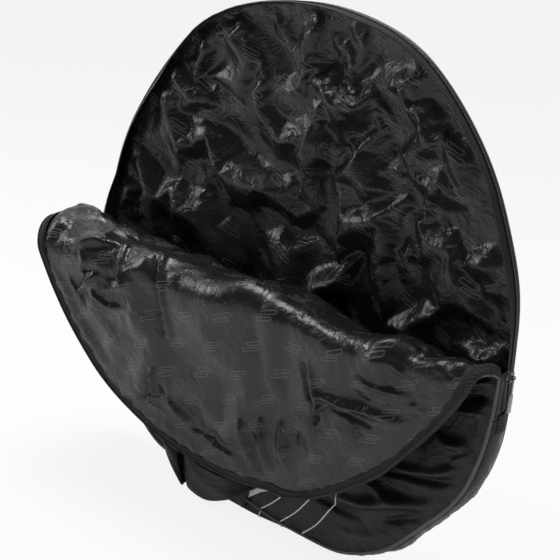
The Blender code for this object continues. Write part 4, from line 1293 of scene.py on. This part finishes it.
def edge_points(angle, depth, inset):
    """Points of the strip and tape that stand along the flap's edge."""
    across, up, normal_across, normal_up = seam(angle)
    degrees = np.degrees(angle)
    turned = np.radians(np.interp(degrees, EDGE_ANGLES, EDGE_TURNS))
    turned = turned + 0.08 * wander(angle, 3.1, 4.0) + 0.05 * wander(angle, 11.0, 2.0)
    rate = np.where(np.abs(turned) < 0.001, 0.001, turned) / EDGE_BEND
    run = np.maximum(depth - EDGE_BASE, 0) * np.interp(degrees, EDGE_SHARE_ANGLES, EDGE_SHARES)
    curved = np.minimum(run, EDGE_BEND)
    turn = rate * curved
    rise = np.sin(turn) / rate + (run - curved) * np.cos(turn)
    inwards = (1 - np.cos(turn)) / rate + (run - curved) * np.sin(turn)
    off = -inwards - inset * np.cos(turn)
    stands = np.minimum(depth, EDGE_BASE) + rise - inset * np.sin(turn)
    return fold_flap(across + normal_across * off, up + normal_up * off, stands)


def make_flap_edge():
    strip = (EDGE_BASE, FRONT_STRIP_FAR - FOLD_Y)
    tape = (FRONT_TAPE_NEAR - FOLD_Y, FRONT_TAPE_FAR - FOLD_Y)
    for part, *angles in FLAP_PARTS:
        nodes, side, hold = "flap_root_", "_" + part, hang_root
        if part == "main":
            nodes, side, hold = "flap_", "", hang_main
        piece = band(f"flap_strip_{part}", edge_points, angles, strip, 0.0, 4)
        dress(piece, "binding", "binding_tape", hold, f"{nodes}lip{side}")
        piece = band(f"flap_tape_{part}", edge_points, angles, tape, TAPE_INSET, 6, TAPE_CLOTH)
        dress(piece, "tape", "zip_tape", hold, f"{nodes}zip_tape{side}")
        count = max(3, round((angles[1] - angles[0]) * RADIUS / CORD_STEP))
        points = edge_points(np.linspace(*angles, count), np.full(count, PIPING_RADIUS), PIPING_INSET)
        dress(tube(f"flap_cord_{part}", points), "piping", "piping_cloth", hold, f"{nodes}piping{side}")
        tooth_row(f"flap_teeth_{part}", angles, FRONT_COIL_Y - FOLD_Y, edge_points, hold,
                  f"{nodes}zip_coil{side}", 0.5)


# The handle, the stripes and the stitches

def make_strap():
    def place(s, t):
        top, low = smooth_path(STRAP_TOP, s), smooth_path(STRAP_LOW, s)
        points = low + (top - low) * t[:, None]
        crown = np.sin(math.pi * t) * np.sin(math.pi * s) ** 0.5
        points[:, 1] -= 0.0015 * crown + 0.0009 * np.sin(9 * t + 23 * s)
        return points, np.column_stack([s * STRAP_LENGTH, t * STRAP_WIDTH])

    piece = cloth_grid("handle_band", 90, 14, place, (0, -1, 0), STRAP_THICKNESS)
    round_edges(piece, 0.0009)
    dress(piece, "webbing", "handle_webbing", "handle", "handle_strap")


def on_cover(across, above, lift):
    """Points on the front panel's outer cloth, lifted off it."""
    share = share_at(across, above, FRONT_INSET)
    return fold_flap(across, above, cover_depth(across, above, share) - lift)


def patch_points(side):
    """The way from places on a patch under one of the handle's ends to points on the bag."""
    axis = JOINTS["handle_swing"]["axis"]
    turn = math.atan2(axis[2], axis[0]) - math.pi
    low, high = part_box(f"handle_patch_{side}")
    middle_across, middle_above = (low[0] + high[0]) / 2, (low[2] + high[2]) / 2 - CENTRE_HEIGHT

    def points_at(x, y, lift):
        across = middle_across + x * math.cos(turn) - y * math.sin(turn)
        above = middle_above + x * math.sin(turn) + y * math.cos(turn)
        return on_cover(across, above, lift)

    return points_at


def make_patches():
    for side in ("left", "right"):
        points_at = patch_points(side)

        def place(s, t):
            x, y = 2 * s - 1, 2 * t - 1
            rim = np.minimum(1 - np.abs(x), 1 - np.abs(y))
            lift = 0.0008 + 0.0026 * step_between(0.0, 0.30, rim)
            x, y = x * (1 - 0.05 * y * y) * PATCH_HALF[0], y * (1 - 0.05 * x * x) * PATCH_HALF[1]
            return points_at(x, y, lift), np.column_stack([x, y])

        piece = cloth_grid(f"patch_{side}", 22, 26, place, (0, -1, 0), 0.0012)
        dress(piece, "webbing", "handle_webbing", "bag", f"handle_patch_{side}")


def on_side(angle, depth, lift):
    """Points on the side's outer cloth, lifted off it."""
    step = 0.0002
    points = side_points(angle, depth, 0)
    along = side_points(angle + step / RADIUS, depth, 0) - points
    back = side_points(angle, depth + step, 0) - points
    outwards = np.cross(back, along)
    return points + lift * outwards / np.linalg.norm(outwards, axis=1)[:, None]


def make_stripes():
    for index, (points, width) in enumerate(STRIPES):
        def place(s, t):
            middle = smooth_path(points, s)
            way = smooth_path(points, s + 0.01) - smooth_path(points, s - 0.01)
            way = way / np.linalg.norm(way, axis=1)[:, None]
            side = (t - 0.5) * width
            across, above = middle[:, 0] - way[:, 1] * side, middle[:, 1] + way[:, 0] * side
            return on_cover(across, above, 0.0006), np.column_stack([s, t * width])

        piece = cloth_grid(f"stripe_{index + 1}", 40, 3, place, (0, -1, 0), STRIPE_THICKNESS)
        dress(piece, "stripe", "shell_nylon", "bag")
    for index, across in enumerate(SIDE_STRIPES):
        middle = 2 * math.pi - math.acos(across / RADIUS)

        def place(s, t):
            angle, depth = middle + (t - 0.5) * SIDE_STRIPE_TURN, (SIDE_Y - LAP) * (2 * s - 1)
            return on_side(angle, depth, 0.0007), np.column_stack([depth, t])

        piece = cloth_grid(f"side_stripe_{index + 1}", 60, 3, place, AWAY, STRIPE_THICKNESS)
        dress(piece, "stripe", "shell_nylon", "bag")


def stitch_row(name, angles, depth, inset, place, hold):
    pitch = sizes().stitch_pitch
    half = np.array((STITCH_LENGTH_SHARE * pitch, *STITCH_HALF))
    piece = bead_row(name, bead("stitch", 5, 4, 1.0), half, pitch, angles, depth, inset, place)
    dress(piece, "thread", "binding_tape", hold)


def patch_stitches():
    """Places and turns of the stitches round a patch and along its two diagonals."""
    half_x, half_y = PATCH_HALF[0] - PATCH_MARGIN, PATCH_HALF[1] - PATCH_MARGIN
    corners = [(half_x * x, half_y * y) for x, y in ((-1, -1), (1, -1), (1, 1), (-1, 1), (-1, -1), (1, 1),
                                                     (-1, 1), (1, -1))]
    places, turns = [], []
    for first, second in zip(corners, corners[1:]):
        steps = max(2, round(math.dist(first, second) / PATCH_STITCH_STEP))
        for step in range(steps):
            x, y = (a + (b - a) * (step + 0.5) / steps for a, b in zip(first, second))
            places.append((x, y, 0.0035))
            turns.append(math.atan2(second[1] - first[1], second[0] - first[0]))
    return np.array(places), np.array(turns)


def make_stitches():
    for name, angles, depth, inset in (
            ("strip", ZIP_SPAN, STRIP_NEAR + 0.0013, -0.0002),
            ("binding", ZIP_SPAN, BINDING_NEAR + 0.0014, 0.0038),
            ("low_front", LOW_SPAN, -SIDE_Y + 0.0032, -0.0001),
            ("low_back", LOW_SPAN, SIDE_Y - 0.0032, -0.0001)):
        stitch_row("stitches_" + name, angles, depth, inset, side_points, "bag")
    for part, *angles in FLAP_PARTS:
        hold = hang_main if part == "main" else hang_root
        stitch_row(f"stitches_flap_{part}", angles, FLAP_STITCH_DEPTH, -0.0002, edge_points, hold)
        stitch_row(f"stitches_flap_in_{part}", angles, FLAP_STITCH_DEPTH, 0.0024, edge_points, hold)
    places, turns = patch_stitches()
    for side in ("left", "right"):
        half = (PATCH_STITCH_HALF, *STITCH_HALF)
        piece = repeat_bead(f"stitches_patch_{side}", bead("stitch", 5, 4, 1.0), half, places,
                            patch_points(side), turns)
        dress(piece, "thread", "handle_webbing", "bag")


def dress_frame_nodes():
    for node, material in (("zip_slider", "metal"), ("pull_tab", "metal"), ("pull_grip", "grip")):
        piece = frame["nodes"][node]
        piece.data.materials.clear()
        piece.data.materials.append(MATERIALS[material])


# The stage

# The camera's place round the bag, and its lens and image centre in pixels
CAMERA_TARGET = Vector((0, 0.0112, 0.3516))
CAMERA_DISTANCE = 1.630
CAMERA_AZIMUTH, CAMERA_ELEVATION, CAMERA_ROLL = math.radians(41.1), math.radians(19.0), math.radians(4.8)
FOCAL_PIXELS, IMAGE_PIXELS, SENSOR_MM = 1194.6, 560, 36.0
IMAGE_CENTRE = (282.7, 277.8)

# Name, place, target, size and power of each light
LIGHTS = (("top_light", (-0.5, 0.2, 2.4), (0, 0, 0.3), (1.0, 0.8), 42),
          ("left_light", (-2.2, -0.9, 1.5), (0, 0, 0.3), (0.5, 1.2), 20))

# The pale surroundings, how much of them rough surfaces get, and how much of the floor glows
PALE, FILL = (0.93, 0.93, 0.93, 1), 0.36
FLOOR_COLOUR, FLOOR_GLOW = (0.92, 0.92, 0.92), (0.97, 0.97, 0.97, 1)
FLOOR_GLOW_SHARE, FLOOR_MIRRORED = 0.88, 0.5


def make_camera():
    azimuth, elevation = CAMERA_AZIMUTH, CAMERA_ELEVATION
    ahead = -Vector((math.sin(azimuth) * math.cos(elevation), -math.cos(azimuth) * math.cos(elevation),
                     math.sin(elevation)))
    right = Vector((math.cos(azimuth), math.sin(azimuth), 0))
    up = right.cross(ahead)
    turn = Matrix.Rotation(CAMERA_ROLL, 3, -ahead)
    right, up = turn @ right, turn @ up
    data = bpy.data.cameras.new("camera")
    data.sensor_width = SENSOR_MM
    data.lens = FOCAL_PIXELS * SENSOR_MM / IMAGE_PIXELS
    data.shift_x = (IMAGE_PIXELS / 2 - IMAGE_CENTRE[0]) / IMAGE_PIXELS
    data.shift_y = (IMAGE_CENTRE[1] - IMAGE_PIXELS / 2) / IMAGE_PIXELS
    camera = bpy.data.objects.new("camera", data)
    bpy.context.scene.collection.objects.link(camera)
    camera.matrix_world = Matrix.LocRotScale(CAMERA_TARGET - ahead * CAMERA_DISTANCE,
                                             Matrix((right, up, -ahead)).transposed(), None)
    bpy.context.scene.camera = camera


def area_light(name, place, target, size, power):
    data = bpy.data.lights.new(name, "AREA")
    data.shape = "RECTANGLE"
    data.size, data.size_y = size
    data.energy = power
    light = bpy.data.objects.new(name, data)
    bpy.context.scene.collection.objects.link(light)
    way = Vector(target) - Vector(place)
    light.matrix_world = Matrix.LocRotScale(Vector(place), way.to_track_quat("-Z", "Y"), None)


def background_share(nodes, mirrored):
    """How much of the pale background a ray sees: all from the camera, a share from gloss and glass."""
    path = nodes.add("LightPath")
    through = nodes.math("MAXIMUM", path.outputs["Is Glossy Ray"], path.outputs["Is Transmission Ray"])
    seen = nodes.times(through, mirrored)
    return nodes.math("MAXIMUM", path.outputs["Is Camera Ray"], seen), through


def make_world():
    world = bpy.data.worlds.new("studio")
    bpy.context.scene.world = world
    world.use_nodes = True
    world.node_tree.nodes.clear()
    nodes = Nodes(world.node_tree)
    way = nodes.add("SeparateXYZ", {"Vector": nodes.add("TexCoord").outputs["Generated"]})
    backdrop = nodes.span(way.outputs["Y"], -0.5, 0.7, 0.10, 1.0)
    share, mirrored = background_share(nodes, backdrop)
    fill = nodes.times(nodes.minus(1.0, mirrored), FILL)
    pale = nodes.add("Background", {"Color": PALE, "Strength": nodes.math("MAXIMUM", share, fill)})
    output = nodes.add("OutputWorld")
    nodes.feed(output.inputs["Surface"], pale.outputs[0])


def make_floor():
    deselect_all()
    bpy.ops.mesh.primitive_grid_add(x_subdivisions=2, y_subdivisions=2, size=60)
    floor = bpy.context.object
    floor.name = "floor"
    nodes, shader = new_material("floor", FLOOR_COLOUR, 0.9)
    glow = nodes.add("Emission", {"Color": FLOOR_GLOW, "Strength": 1.0})
    share, _ = background_share(nodes, FLOOR_MIRRORED)
    mix = nodes.add("MixShader", {"Fac": nodes.times(share, FLOOR_GLOW_SHARE)})
    nodes.feed(mix.inputs[1], shader.outputs[0])
    nodes.feed(mix.inputs[2], glow.outputs[0])
    nodes.feed(nodes.tree.nodes["Material Output"].inputs["Surface"], mix.outputs[0])
    floor.data.materials.append(MATERIALS["floor"])


def make_stage():
    make_camera()
    make_world()
    make_floor()
    for light in LIGHTS:
        area_light(*light)
    bpy.context.scene.view_settings.view_transform = "Standard"


# Operators

class WHEELBAG_OT_materials(bpy.types.Operator):
    """Make the materials"""
    bl_idname = "wheelbag.materials"
    bl_label = "Materials"

    def execute(self, context):
        make_materials()
        return {"FINISHED"}


class WHEELBAG_OT_body(bpy.types.Operator):
    """Make the back panel, the side strips and the binding"""
    bl_idname = "wheelbag.body"
    bl_label = "Body"

    def execute(self, context):
        make_back()
        make_side()
        return {"FINISHED"}


class WHEELBAG_OT_zip(bpy.types.Operator):
    """Make the zip on the side strip: tapes, teeth and end tabs"""
    bl_idname = "wheelbag.zip"
    bl_label = "Zip"

    def execute(self, context):
        make_zip()
        return {"FINISHED"}


class WHEELBAG_OT_piping(bpy.types.Operator):
    """Make the piping in the seams"""
    bl_idname = "wheelbag.piping"
    bl_label = "Piping"

    def execute(self, context):
        make_piping()
        return {"FINISHED"}


class WHEELBAG_OT_front(bpy.types.Operator):
    """Make the front panel, the flap and the flap's edge"""
    bl_idname = "wheelbag.front"
    bl_label = "Front and flap"

    def execute(self, context):
        make_front()
        make_flap_edge()
        return {"FINISHED"}


class WHEELBAG_OT_fittings(bpy.types.Operator):
    """Make the handle, its patches, the stripes and the stitches, and finish the slider and its pull"""
    bl_idname = "wheelbag.fittings"
    bl_label = "Fittings"

    def execute(self, context):
        make_strap()
        make_patches()
        make_stripes()
        make_stitches()
        dress_frame_nodes()
        return {"FINISHED"}


class WHEELBAG_OT_stage(bpy.types.Operator):
    """Make the floor, lights and camera"""
    bl_idname = "wheelbag.stage"
    bl_label = "Stage"

    def execute(self, context):
        make_stage()
        return {"FINISHED"}


OPERATORS = (WHEELBAG_OT_materials, WHEELBAG_OT_body, WHEELBAG_OT_zip, WHEELBAG_OT_piping,
             WHEELBAG_OT_front, WHEELBAG_OT_fittings, WHEELBAG_OT_stage)


class WHEELBAG_PT_panel(bpy.types.Panel):
    """Lists the bag's operators"""
    bl_idname = "WHEELBAG_PT_panel"
    bl_label = "Wheel bag"
    bl_space_type = "VIEW_3D"
    bl_region_type = "UI"
    bl_category = "Wheel bag"

    def draw(self, context):
        for operator in OPERATORS:
            self.layout.operator(operator.bl_idname)
        for group in (context.scene.wheel_bag_sizes, context.scene.wheel_bag_colours):
            for name in group.__annotations__:
                self.layout.prop(group, name)


CLASSES = (WHEELBAG_PG_sizes, WHEELBAG_PG_colours, *OPERATORS, WHEELBAG_PT_panel)


def register():
    for item in CLASSES:
        bpy.utils.register_class(item)
    bpy.types.Scene.wheel_bag_sizes = bpy.props.PointerProperty(type=WHEELBAG_PG_sizes)
    bpy.types.Scene.wheel_bag_colours = bpy.props.PointerProperty(type=WHEELBAG_PG_colours)


def unregister():
    del bpy.types.Scene.wheel_bag_colours
    del bpy.types.Scene.wheel_bag_sizes
    for item in reversed(CLASSES):
        bpy.utils.unregister_class(item)


def main():
    register()
    for operator in OPERATORS:
        group, name = operator.bl_idname.split(".")
        getattr(getattr(bpy.ops, group), name)()


if __name__ == "__main__":
    main()
